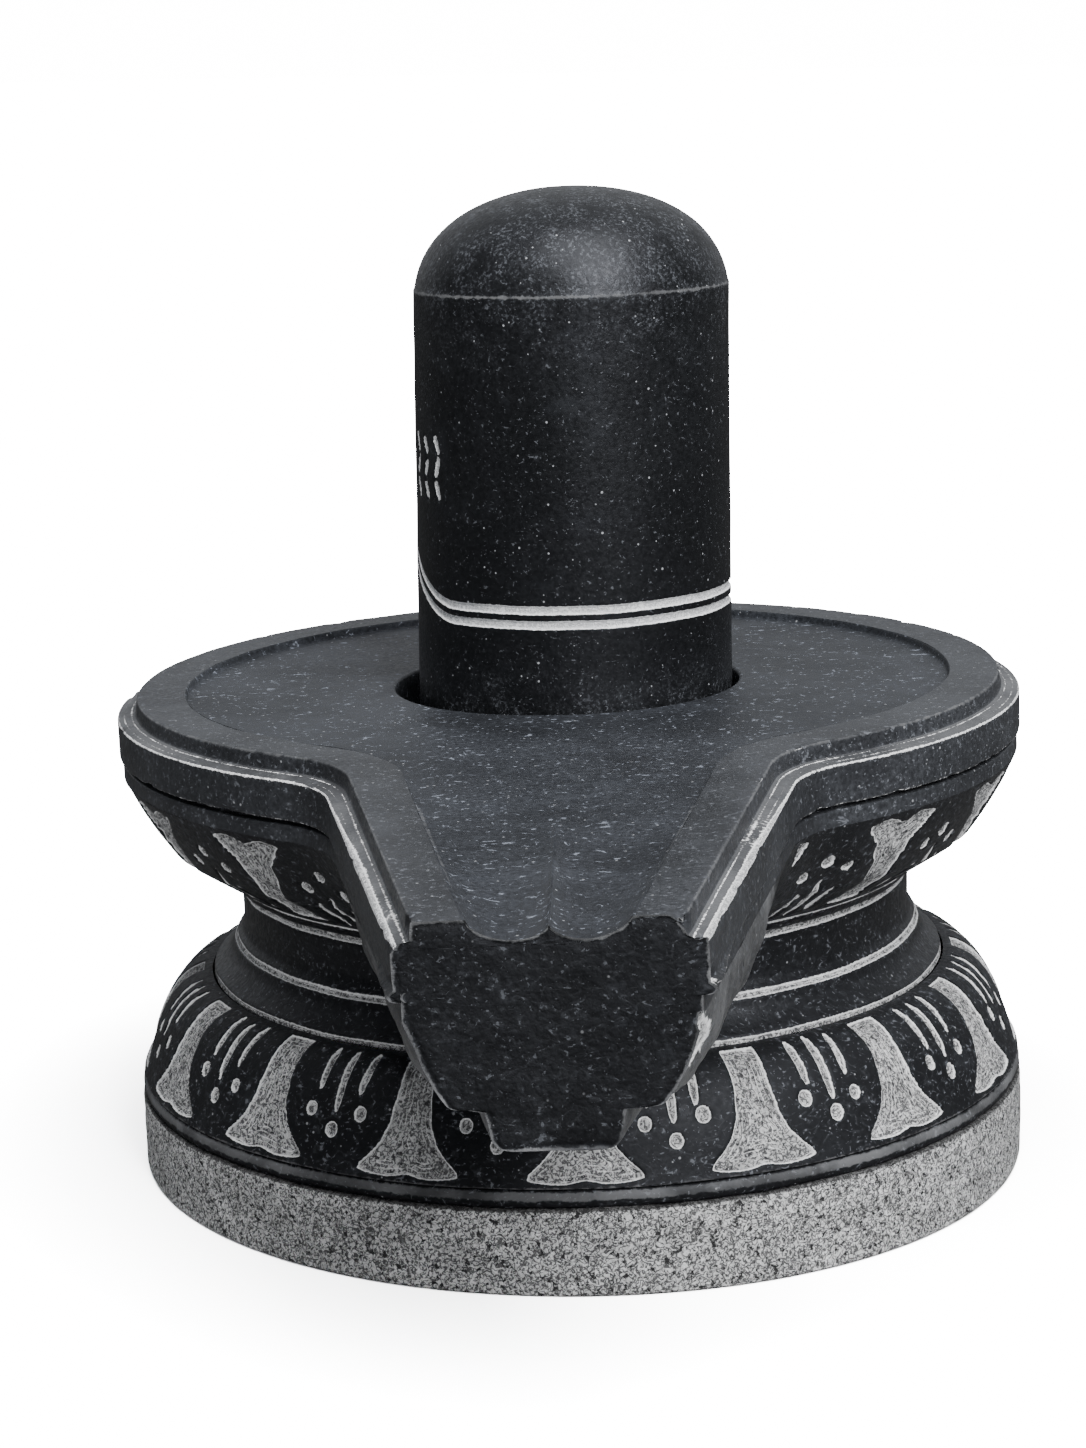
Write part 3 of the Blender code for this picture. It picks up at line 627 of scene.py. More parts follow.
@dataclass
class Plinth:
    """The round foot, dressed with a bush hammer."""

    levels: Levels
    lean: Lean
    edge_radius: float = 0.0012
    row_step: float = 0.0009
    columns_front: int = 480
    columns_back: int = 200
    sole_radii: tuple[float, ...] = (0.0005, 0.06, 0.12)
    sole_share: float = 0.9
    dressed_from: float = 0.002
    unevenness: Lumps = Lumps(0.00035, 0.014, 2, 11)
    pitting: Lumps = Lumps(0.00016, 0.0024, 2, 12)
    nicks: Lumps = Lumps(1.0, 0.005, 2, 17)
    nick_depth: float = 0.0008
    nick_reach: float = 0.0016

    def build(self) -> bpy.types.Object:
        """Return the plinth, closed underneath."""
        size = self.levels
        quirk = size.foot_radius - size.bead_quirk
        path = [(self.sole_radii[0], 0.0), (size.foot_radius - size.foot_chamfer, 0.0),
                (size.foot_radius, size.foot_chamfer), (size.foot_radius, size.plinth_height),
                (quirk - 0.001, size.plinth_height)]
        rows = sampled(rounded(path, self.edge_radius), self.row_step)
        rows = rows[rows[:, 0] > size.foot_radius * self.sole_share]
        rows = np.concatenate(([(radius, 0.0) for radius in self.sole_radii], rows))
        angles = finer_in_front(self.columns_front, self.columns_back)
        points = polar(angles[None, :], rows[:, :1], rows[:, 1:])
        side = smooth_step(0.0, self.dressed_from, points[..., 2])
        relief = self.unevenness.at(points)
        relief += self.pitting.at(points)
        corner = corner_distance(rows, [(size.foot_radius, size.plinth_height)])[:, None]
        nicks = smooth_step(0.25, 0.9, self.nicks.at(points)) * self.nick_depth
        relief -= nicks * fading(corner, self.nick_reach)
        points = points + outward(points, True) * (relief * side)[..., None]
        foot = rows[:, 1:] / MILLIMETRE
        top = (size.plinth_height - rows[:, 1:]) / MILLIMETRE
        inward = (size.foot_radius - self.edge_radius / 2 - rows[:, :1]) / MILLIMETRE
        on_top = rows[:, 1:] > size.plinth_height - self.edge_radius
        pale = np.where(on_top, -inward, FAR_AWAY)
        return stone_piece("plinth", [Sheet(points, True, pale, np.minimum(foot, top))], self.lean)


@dataclass
class Bell:
    """The bead and the carved bell that spreads down to it."""

    levels: Levels
    lean: Lean
    motifs: Motifs
    bead_swell: float = 0.0021
    bead_share: float = 0.47
    bead_turn: float = 1.45
    bead_steps: int = 15
    bead_crest: int = 10
    bead_tuck: float = 0.0014
    foot_turn: float = 0.16
    steep: float = 0.31
    crown: float = 0.66
    top_drop: float = 0.03
    wall_rows: int = 78
    edge_radius: float = 0.00018
    row_step: float = 0.0012
    columns_front: int = 590
    columns_back: int = 270
    petal_depth: float = 0.0010
    unevenness: Lumps = Lumps(0.00018, 0.012, 2, 23)

    def wall(self) -> np.ndarray:
        """Return the bell's rows as radius and height, along one smooth curve."""
        size = self.levels
        spread = size.bell_foot_radius - size.bell_top_radius
        corners = np.array((
            (size.bell_foot_radius, size.bead_top),
            (size.bell_foot_radius - spread * self.foot_turn,
             size.bead_top + size.bell_height * self.steep),
            (size.bell_top_radius + spread * self.crown,
             size.bell_top - size.bell_height * self.top_drop),
            (size.bell_top_radius, size.bell_top)))
        t = np.linspace(0.0, 1.0, self.wall_rows)[:, None]
        return ((1 - t) ** 3 * corners[0] + 3 * t * (1 - t) ** 2 * corners[1]
                + 3 * t * t * (1 - t) * corners[2] + t ** 3 * corners[3])

    def build(self) -> bpy.types.Object:
        """Return the bead and the bell."""
        size = self.levels
        quirk = size.foot_radius - size.bead_quirk
        foot, half = size.plinth_height, size.bead_height * self.bead_share
        turns = np.linspace(-self.bead_turn, self.bead_turn, self.bead_steps)
        bead = [(quirk - self.bead_tuck, foot - 0.0002)]
        bead += [(quirk + self.bead_swell * math.cos(turn), foot + half * (1 + math.sin(turn)))
                 for turn in turns]
        bead += [(quirk - 0.0006, size.bead_top - 0.0001), (size.bell_foot_radius, size.bead_top)]
        bead_rows = sampled(rounded(bead, self.edge_radius, 1), self.row_step)
        wall = sampled(self.wall(), self.row_step)
        rows = np.concatenate((bead_rows, wall[1:]))
        angles = finer_in_front(self.columns_front, self.columns_back)
        points = polar(angles[None, :], rows[:, :1], rows[:, 1:])
        height = lengths(wall)[-1]
        shares = (lengths(rows) - lengths(rows)[-1] + height)[:, None] / height
        inside = self.motifs.depth_inside(np.broadcast_to(angles, points.shape[:2]),
                                          shares, rows[:, :1], height)
        inside = np.where(shares < 0.0, -FAR_AWAY, inside).clip(-FAR_AWAY, FAR_AWAY)
        cut = chiselled(points, inside, self.petal_depth, 21)
        relief = self.unevenness.at(points) - cut
        points = points + outward(points, True) * relief[..., None]
        # The top of the bead's swell is given as an edge that the finish paints lighter: a painted
        # highlight of the light along the bead, with some wear.
        bead_highlight = corner_distance(rows, [bead[self.bead_crest]]) / MILLIMETRE - 0.9
        line = np.abs(lengths(rows) - lengths(bead_rows)[-1]) / MILLIMETRE + 0.25
        edge = np.minimum(bead_highlight, line)[:, None]
        return stone_piece("bell", [Sheet(points, True, inside, edge)], self.lean)


@dataclass
class Neck:
    """The collar and neck between the bell and the bowl, with their engraved lines."""

    levels: Levels
    lean: Lean
    collar_radius: float = 0.1238
    collar_step: float = 0.0018
    collar_top_radius: float = 0.1162
    flare_height: float = 0.0055
    collar_bow: float = 0.25
    flare_share: float = 0.8
    line_width: float = 0.0019
    line_depth: float = 0.0008
    line_wander: float = 0.0004
    edge_radius: float = 0.0012
    row_step: float = 0.00062
    columns: int = 600
    unevenness: Lumps = Lumps(0.00016, 0.011, 2, 31)

    def build(self) -> bpy.types.Object:
        """Return the collar, the neck and the bowl's plain foot."""
        size = self.levels
        bow = (self.collar_radius - self.collar_top_radius) * self.collar_bow
        path = [(size.bell_top_radius, size.bell_top)]
        for share in np.linspace(0.0, 1.0, 7):
            radius = self.collar_radius + (self.collar_top_radius - self.collar_radius) * share
            path.append((radius - bow * math.sin(math.pi * share),
                         size.bell_top + self.collar_step
                         + (size.collar_height - self.collar_step) * share))
        flare = (size.neck_radius - self.collar_top_radius) * self.flare_share
        path += [(self.collar_top_radius + flare, size.waist + self.flare_height * 0.5),
                 (size.neck_radius, size.waist + self.flare_height),
                 (size.neck_radius, size.neck_top),
                 (size.bowl_foot_radius, size.bowl_bottom)]
        rows = sampled(rounded(path, self.edge_radius, 3), self.row_step)
        angles = np.arange(self.columns) * 360.0 / self.columns
        points = polar(angles[None, :], rows[:, :1], rows[:, 1:])
        heights = points[..., 2] + self.line_wander * value_noise(points, 0.020, 33)
        lines = ((size.bell_top + 0.0002, 1.5), (size.waist, 1.1), (size.neck_top, 1.3),
                 (size.bowl_bottom - 0.0004, 0.6))
        inside = np.full(points.shape[:2], -FAR_AWAY)
        for level, widened in lines:
            half = self.line_width / 2 * widened
            inside = np.maximum(inside, (half - np.abs(heights - level)) / MILLIMETRE)
        cut = self.line_depth * smooth_step(-0.3, 0.7, inside)
        relief = self.unevenness.at(points) - cut
        points = points + outward(points, True) * relief[..., None]
        return stone_piece("neck", [Sheet(points, True, inside)], self.lean)


@dataclass
class Bowl:
    """The carved bowl under the rim, with the spout's flanks and underside."""

    levels: Levels
    lean: Lean
    motifs: Motifs
    outline: Keyhole
    belly_radius: float = 0.1348
    shelf_width: float = 0.0012
    bulge: float = 0.0009
    lip_width: float = 0.0336
    lip_foot_width: float = 0.0300
    lip_turn: tuple[tuple[float, float], ...] = (
        (0.0, 0.0075), (0.05, 0.0030), (0.2, 0.0005), (0.5, 0.0), (1.0, 0.0))
    clear_angle: float = 26.5
    edge_radius: float = 0.0014
    row_step: float = 0.00088
    under_columns: int = 24
    petal_depth: float = 0.0010
    unevenness: Lumps = Lumps(0.00018, 0.012, 2, 43)
    flank_swell: float = 0.0026
    flank_swell_right: float = 0.0046
    flank_lumps: Lumps = Lumps(0.0017, 0.011, 3, 47)
    under_lumps: Lumps = Lumps(0.0006, 0.009, 2, 49)
    chip_depth: float = 0.0012
    chip_lumps: Lumps = Lumps(1.0, 0.006, 3, 59)
    # More of the mouth's right side is chipped than of its left.
    chips_right: float = 0.30
    chips_left: float = -0.15
    mouth_edges: np.ndarray | None = field(default=None, init=False)

    def path(self) -> list[tuple[float, float, float, float]]:
        """Return the levels as bowl inset, mouth inset, height and mouth rise."""
        size = self.levels
        band = self.outline.band_radius
        belly = size.bowl_bottom + size.belly_height
        shelf = belly + size.shelf_height
        rows = []
        for share, turned in self.lip_turn:
            lip = self.lip_foot_width + (self.lip_width - self.lip_foot_width) * math.sqrt(share)
            lip -= turned
            radius = size.bowl_foot_radius + (self.belly_radius - size.bowl_foot_radius) * share
            rows.append((band - radius, (self.outline.mouth_width - lip) / 2,
                         size.bowl_bottom + size.belly_height * share, size.mouth_rise))
        start = self.belly_radius + self.shelf_width
        for share in (0.0, 0.33, 0.67, 1.0):
            radius = start + (size.shoulder_radius - start) * share
            radius += self.bulge * 4 * share * (1 - share)
            inset = band - radius
            rows.append((inset, inset * size.mouth_shrink + size.mouth_undercut,
                         shelf + (size.shoulder - shelf) * share,
                         size.mouth_rise * (1 - share)))
        return rows

    def build(self) -> bpy.types.Object:
        """Return the bowl's wall, and the spout's underside."""
        rows = sampled(rounded(self.path(), self.edge_radius, 3), self.row_step)
        points = self.outline.levels(rows)
        angles = np.degrees(np.arctan2(points[..., 0], -points[..., 1])) % 360.0
        radius = np.hypot(points[..., 0], points[..., 1])
        back = rows[:, [0, 2]]
        height = lengths(back)[-1]
        shares = (lengths(back) / height)[:, None]
        inside = self.motifs.depth_inside(angles, shares, radius, height)
        aside = np.abs(folded(angles)) - self.clear_angle
        shown = aside * np.radians(1.0) * self.outline.band_radius
        inside = np.minimum(inside, shown / MILLIMETRE).clip(-FAR_AWAY, FAR_AWAY)
        cut = chiselled(points, inside, self.petal_depth, 41)
        relief = self.unevenness.at(points) - cut
        relief += self.flank_relief(points)
        chips = self.chips(points)
        relief -= self.chip_depth * smooth_step(0.0, 1.2, chips)
        inside = np.maximum(inside, chips - 0.3)
        points = points + outward(points, False) * relief[..., None]
        self.mouth_edges = np.concatenate((points[:, 0], points[:, -1]), axis=1)
        under = self.underside(points[0])
        flank = smooth_step(0.16, 0.20, -points[..., 1])
        edge = 2.6 - 2.45 * flank
        return stone_piece("bowl", [Sheet(points, False, inside, edge), under], self.lean)

    def flank_relief(self, points: np.ndarray) -> np.ndarray:
        """Return how far the spout's roughly broken flanks stand out, in metres."""
        out = smooth_step(0.150, 0.215, -points[..., 1])
        level = (points[..., 2] - self.levels.bowl_bottom) / (
            self.levels.shoulder - self.levels.bowl_bottom)
        belly = np.sin(np.pi * np.clip(level * 1.05 - 0.05, 0.0, 1.0)) ** 0.7
        fade = 1.0 - 0.75 * smooth_step(0.285, 0.312, -points[..., 1])
        swell = np.where(points[..., 0] > 0, self.flank_swell_right, self.flank_swell)
        return out * belly * (swell * fade + self.flank_lumps.at(points))

    def chips(self, points: np.ndarray) -> np.ndarray:
        """Return millimetres inside the chipped places beside the mouth, less than 0 outside."""
        mouth = smooth_step(0.284, 0.311, -points[..., 1])
        high = smooth_step(0.116, 0.128, points[..., 2])
        side = np.where(points[..., 0] > 0, self.chips_right, self.chips_left)
        return (self.chip_lumps.at(points) + side) * 2.6 * mouth * high - 0.5

    def underside(self, lowest: np.ndarray) -> Sheet:
        """Return the spout's underside, from the mouth back into the neck."""
        count = self.outline.side_columns
        right, left = lowest[:count], lowest[::-1][:count]
        shares = np.linspace(0.0, 1.0, self.under_columns)[:, None, None]
        points = np.swapaxes(right + (left - right) * shares, 0, 1)
        points[:, 1:-1, 2] += self.under_lumps.at(points)[:, 1:-1]
        return Sheet(points)


@dataclass
class Rim:
    """The frieze, the dark band, the pale ledge, the step and the flat rim."""

    levels: Levels
    lean: Lean
    outline: Keyhole
    quirk_depth: float = 0.0024
    edge_radius: float = 0.0008
    row_step: float = 0.0011
    unevenness: Lumps = Lumps(0.00022, 0.018, 2, 51)
    nicks: Lumps = Lumps(1.0, 0.006, 3, 53)
    nick_depth: float = 0.0011
    nick_reach: float = 0.0013
    breaks: Lumps = Lumps(1.0, 0.007, 3, 57)
    break_depth: float = 0.0030
    break_reach: float = 0.0040
    # How far a nick and a break show pale from a worn edge, in metres, and from what share on.
    nick_pale: tuple[float, float] = (0.0009, 0.45)
    break_pale: tuple[float, float] = (0.0026, 0.55)
    quirk_filled: float = 0.8
    # Pale line at the ledge's outer edge: its width and how much wider it is on the spout.
    edge_line: tuple[float, float] = (0.45, 1.5)
    # Pale lines further in: how far from the outer edge, and half their width, in millimetres.
    ledge_lines: tuple[tuple[float, float], ...] = ((4.7, 0.16), (2.5, 0.10))
    line_wander: Lumps = Lumps(0.35, 0.016, 2, 54)
    ledge_patches: Lumps = Lumps(0.9, 0.020, 3, 55)
    mouth_edges: np.ndarray | None = field(default=None, init=False)

    def path(self) -> list[tuple[float, float, float, float]]:
        """Return the levels as bowl inset, mouth inset, height and mouth rise."""
        size = self.levels
        frieze = self.outline.band_radius - size.shoulder_radius
        deep = frieze + self.quirk_depth
        shrink, under = size.mouth_shrink, size.mouth_undercut
        quirk = size.shoulder + size.frieze_height
        ledge, rim = size.ledge, size.rim
        step = size.ledge_width + size.step_lean
        flat = size.ledge_width + size.rim_width
        return [
            (frieze, frieze * shrink + under, size.shoulder, 0.0),
            (frieze, frieze * shrink + under, quirk, 0.0),
            (deep, deep * shrink + under, quirk + size.quirk_height * 0.2, 0.0),
            (deep, deep * shrink + under, size.band, 0.0),
            (0.0, 0.0, size.band, 0.0),
            (0.0, 0.0, ledge, 0.0),
            (size.ledge_width, size.ledge_width * shrink, ledge + size.ledge_rise, 0.0),
            (step, step * shrink, rim, 0.0),
            (flat, flat * shrink, rim, 0.0),
        ]

    def build(self) -> bpy.types.Object:
        """Return the rim all round and along the spout."""
        path = self.path()
        rows = sampled(rounded(path, self.edge_radius, 3), self.row_step)
        points = self.outline.levels(rows)
        section = rows[:, [0, 2]]
        corners = [(row[0], row[2]) for row in path]
        quirk_low, quirk_high, band_low, band_high, ledge_end, rim_edge = corners[2:8]
        worn = corner_distance(section, [band_low, band_high, rim_edge])[:, None]
        nicks = smooth_step(0.20, 0.85, self.nicks.at(points))
        mouth = smooth_step(0.296, 0.312, -points[..., 1])
        broken = smooth_step(-0.1, 0.6, self.breaks.at(points))
        relief = self.unevenness.at(points)
        relief -= self.nick_depth * nicks * fading(worn, self.nick_reach)
        relief -= self.break_depth * broken * mouth * fading(worn, self.break_reach)
        quirk_middle = (quirk_low[1] + quirk_high[1]) / 2
        filled = np.abs(section[:, 1] - quirk_middle)[:, None] < 0.001
        spout_end = smooth_step(0.27, 0.305, -points[..., 1])
        relief += self.quirk_depth * self.quirk_filled * filled * spout_end
        points = points + outward(points, False) * relief[..., None]
        self.mouth_edges = np.concatenate((points[:, 0], points[:, -1]), axis=1)
        chips = np.maximum(nicks * fading(worn, self.nick_pale[0]) - self.nick_pale[1],
                           broken * mouth * fading(worn, self.break_pale[0]) - self.break_pale[1])
        outer = (section[:, :1] - band_high[0]) / MILLIMETRE
        below = (self.levels.ledge - section[:, 1:]) / MILLIMETRE
        beyond = section[:, 1:] > ledge_end[1] + 0.0002
        quirk = 0.25 - np.abs(section[:, 1:] - self.levels.band) / MILLIMETRE - section[:, :1] * 900
        ledge = self.pale_ledge(points, outer, below, beyond)
        pale = np.maximum(np.maximum(ledge, quirk), chips * 2.0)
        edge = np.where((below < 0.3) & ~beyond, -0.5, worn / MILLIMETRE)
        return stone_piece("rim", [Sheet(points, False, pale, edge)], self.lean)

    def pale_ledge(self, points: np.ndarray, outer: np.ndarray, below: np.ndarray,
                   beyond: np.ndarray) -> np.ndarray:
        """Find the pale line and the worn patches on the ledge.

        Args:
            points: the rim's places.
            outer: millimetres inward from the ledge's outer edge.
            below: millimetres under the ledge's outer edge.
            beyond: whether a row lies past the ledge.

        Returns:
            Millimetres inside a pale place, less than 0 outside.
        """
        spout = smooth_step(0.15, 0.24, -points[..., 1])
        wavy = self.line_wander.at(points)
        inside = self.edge_line[0] + self.edge_line[1] * spout - outer
        for middle, half in self.ledge_lines:
            inside = np.maximum(inside, half - np.abs(outer - middle + wavy))
        inside = np.maximum(inside, self.ledge_patches.at(points) - 0.70 + 0.2 * spout)
        inside = np.where(below > 0.3, 0.5 + 0.35 * spout - below, inside)
        return np.where(beyond, -4.0, inside)


@dataclass
class Dish:
    """The dish with its socket, and the two channels that run out along the spout."""

    levels: Levels
    lean: Lean
    outline: Keyhole
    wall_lean: float = 0.0009
    channel_depth: float = 0.0046
    ridge_drop: float = 0.0014
    channel_starts: float = 0.10
    socket_radius: float = 0.0578
    socket_depth: float = 0.0600
    socket_chamfer: float = 0.0010
    across_columns: int = 96
    radial_rows: int = 46
    wall_rows: int = 7
    hole_rows: int = 14
    unevenness: Lumps = Lumps(0.00025, 0.030, 2, 61)
    channel_lumps: Lumps = Lumps(0.0003, 0.011, 3, 63)

    def drop(self, across: np.ndarray, along: np.ndarray) -> np.ndarray:
        """Work out how far the floor lies under the rim, in metres.

        Args:
            across: 0 at the spout's edges and 1 on its middle ridge.
            along: 0 at the dish and 1 at the mouth.

        Returns:
            The drop at each place.
        """
        ease = smooth_step(self.channel_starts, 1.0, along)
        scoop = self.channel_depth * np.sin(np.pi * across) ** 0.55 + self.ridge_drop * across
        return self.levels.dish_depth + (scoop - self.levels.dish_depth) * ease

    def inner_edge(self) -> np.ndarray:
        """Return the rim's inner edge."""
        inset = self.levels.ledge_width + self.levels.rim_width
        return self.outline.outline(inset, inset * self.levels.mouth_shrink, self.levels.rim)

    def channels(self) -> np.ndarray:
        """Return the spout's floor as rows from the mouth to the dish."""
        size = self.levels
        inset = size.ledge_width + size.rim_width + self.wall_lean
        floor = self.outline.outline(inset, inset * size.mouth_shrink, size.dish_floor)
        count = self.outline.spout_columns + 1
        shares = np.linspace(0.0, 1.0, self.across_columns + 1)[None, :, None]
        right, left = floor[:count, None], floor[::-1][:count, None]
        points = right + (left - right) * shares
        across = 1 - np.abs(1 - 2 * shares[..., 0])
        along = 1 - np.arange(count)[:, None] / self.outline.spout_columns
        points[..., 2] = size.rim - self.drop(across, along)
        inner = np.sin(np.pi * shares[..., 0])
        ease = smooth_step(0.0, 0.25, along)
        points[..., 2] += self.channel_lumps.at(points) * inner * ease
        return points

    def build(self) -> bpy.types.Object:
        """Return the dish, its wall, the channels and the socket."""
        size = self.levels
        inset = size.ledge_width + size.rim_width + self.wall_lean
        edge = self.inner_edge()
        floor = self.outline.outline(inset, inset * size.mouth_shrink, size.dish_floor)
        channels = self.channels()
        count = self.outline.spout_columns + 1
        floor[:count] = channels[:, 0]
        floor[::-1][:count] = channels[:, -1]
        section = np.linspace(0.0, 1.0, self.wall_rows)[:, None, None]
        wall = edge + (floor - edge) * section
        sunk = smooth_step(0.0, 1.0, section[..., 0])
        wall[..., 2] = edge[:, 2] + (floor[:, 2] - edge[:, 2]) * sunk
        ring = np.concatenate((floor[count - 1:len(floor) - count + 1],
                               channels[-1][1:-1][::-1]))
        turns = np.arctan2(ring[:, 0], -ring[:, 1])
        socket = self.socket_radius
        lip = np.stack((socket * np.sin(turns), -socket * np.cos(turns)), axis=1)
        shares = np.linspace(0.0, 1.0, self.radial_rows)[:, None, None] ** 0.9
        base = np.empty((self.radial_rows, len(ring), 3))
        start = lip * (1 + self.socket_chamfer / socket)
        base[..., :2] = ring[:, :2] + (start - ring[:, :2]) * shares
        base[..., 2] = size.dish_floor
        hole = self.hole(lip, size.dish_floor)
        fade = np.clip(shares[..., 0] * 6, 0.0, 1.0)
        base[..., 2] += self.unevenness.at(base) * fade
        hole[0, :, 2] = base[-1, :, 2]
        sheets = [Sheet(wall, False), self.worn_and_lit_channels(channels), Sheet(base, True),
                  Sheet(hole, True)]
        return stone_piece("dish", sheets, self.lean)

    def worn_and_lit_channels(self, channels: np.ndarray) -> Sheet:
        """Return the channels, their sides and middle ridge painted lighter: worn edges and a
        painted highlight.
        """
        right, left = channels[:, :1], channels[:, -1:]
        side = np.minimum(np.linalg.norm(channels - right, axis=2),
                          np.linalg.norm(channels - left, axis=2)) - 0.0004
        ridge = np.linalg.norm(channels - (right + left) / 2, axis=2) + 0.0002
        along = np.linspace(1.0, 0.0, len(channels))[:, None]
        side += 0.004 * (1 - smooth_step(0.02, 0.25, along))
        ridge = np.where(along > 0.45, ridge, 1.0)
        edge = np.abs(np.minimum(side, ridge)) / MILLIMETRE
        return Sheet(channels[::-1], False, None, edge[::-1])

    def hole(self, lip: np.ndarray, height: float) -> np.ndarray:
        """Return the socket's rows, from its worn lip down to its floor."""
        chamfer = self.socket_chamfer
        profile = [(chamfer, 0.0), (chamfer * 0.5, -chamfer * 0.15),
                   (chamfer * 0.15, -chamfer * 0.5), (0.0, -chamfer)]
        profile += [(0.0, -depth)
                    for depth in np.linspace(0.004, self.socket_depth, self.hole_rows)]
        profile += [(-self.socket_radius * share, -self.socket_depth) for share in (0.4, 0.98)]
        rows = np.array(profile)
        scale = 1 + rows[:, :1] / self.socket_radius
        points = np.empty((len(rows), len(lip), 3))
        points[..., :2] = lip[None] * scale[..., None]
        points[..., 2] = height + rows[:, 1:]
        return points


@dataclass
class Mouth:
    """The spout's roughly broken front face."""

    lean: Lean
    bowl: Bowl
    rim: Rim
    dish: Dish
    across_columns: int = 200
    row_step: float = 0.00095
    roughness: float = 0.0010
    broad_lumps: Lumps = Lumps(0.8, 0.016, 2, 71)
    fine_lumps: Lumps = Lumps(0.5, 0.005, 3, 73)
    edge_round: float = 0.0024
    settles_in: float = 0.0014
    # Rows pressed under the channels stay this far apart, in metres.
    row_gap: float = 1e-7

    def build(self) -> bpy.types.Object:
        """Return the front face, stretched between the bowl's and rim's edges."""
        edges = np.concatenate((self.bowl.mouth_edges, self.rim.mouth_edges[1:]))
        edges = sampled(edges, self.row_step)
        right, left = edges[:, None, :3], edges[:, None, 3:]
        shares = np.linspace(0.0, 1.0, self.across_columns)[None, :, None]
        points = right + (left - right) * shares
        top = self.dish.channels()[0][::-1]
        ceiling = np.interp(points[..., 0], top[:, 0], top[:, 2])
        order = (len(points) - np.arange(len(points)))[:, None] * self.row_gap
        inner = slice(1, -1)
        points[:, inner, 2] = np.minimum(points[:, inner, 2], (ceiling - order)[:, inner])
        aside = np.minimum(right[..., 0] - points[..., 0], points[..., 0] - left[..., 0])
        level = np.minimum(points[..., 2] - points[:1, :, 2], ceiling - points[..., 2])
        near = np.clip(np.minimum(aside, level), 0.0, 1.0)
        rounding = 1 - smooth_step(0.0, self.edge_round * 1.5, near)
        settle = smooth_step(0.0, self.settles_in, near)
        lumps = self.broad_lumps.at(points) + self.fine_lumps.at(points)
        sides = (edges[:, 1] + edges[:, 4]) / 2
        plane = np.polynomial.Polynomial.fit(edges[:, 2], sides, 1)(edges[:, 2])
        points[..., 1] += (plane[:, None] - points[..., 1]) * settle
        points[..., 1] += self.edge_round * 0.35 * rounding ** 2 * settle
        points[..., 1] -= self.roughness * lumps * settle
        return stone_piece("mouth", [Sheet(points, False, None, near / MILLIMETRE)], self.lean)


# The shaft


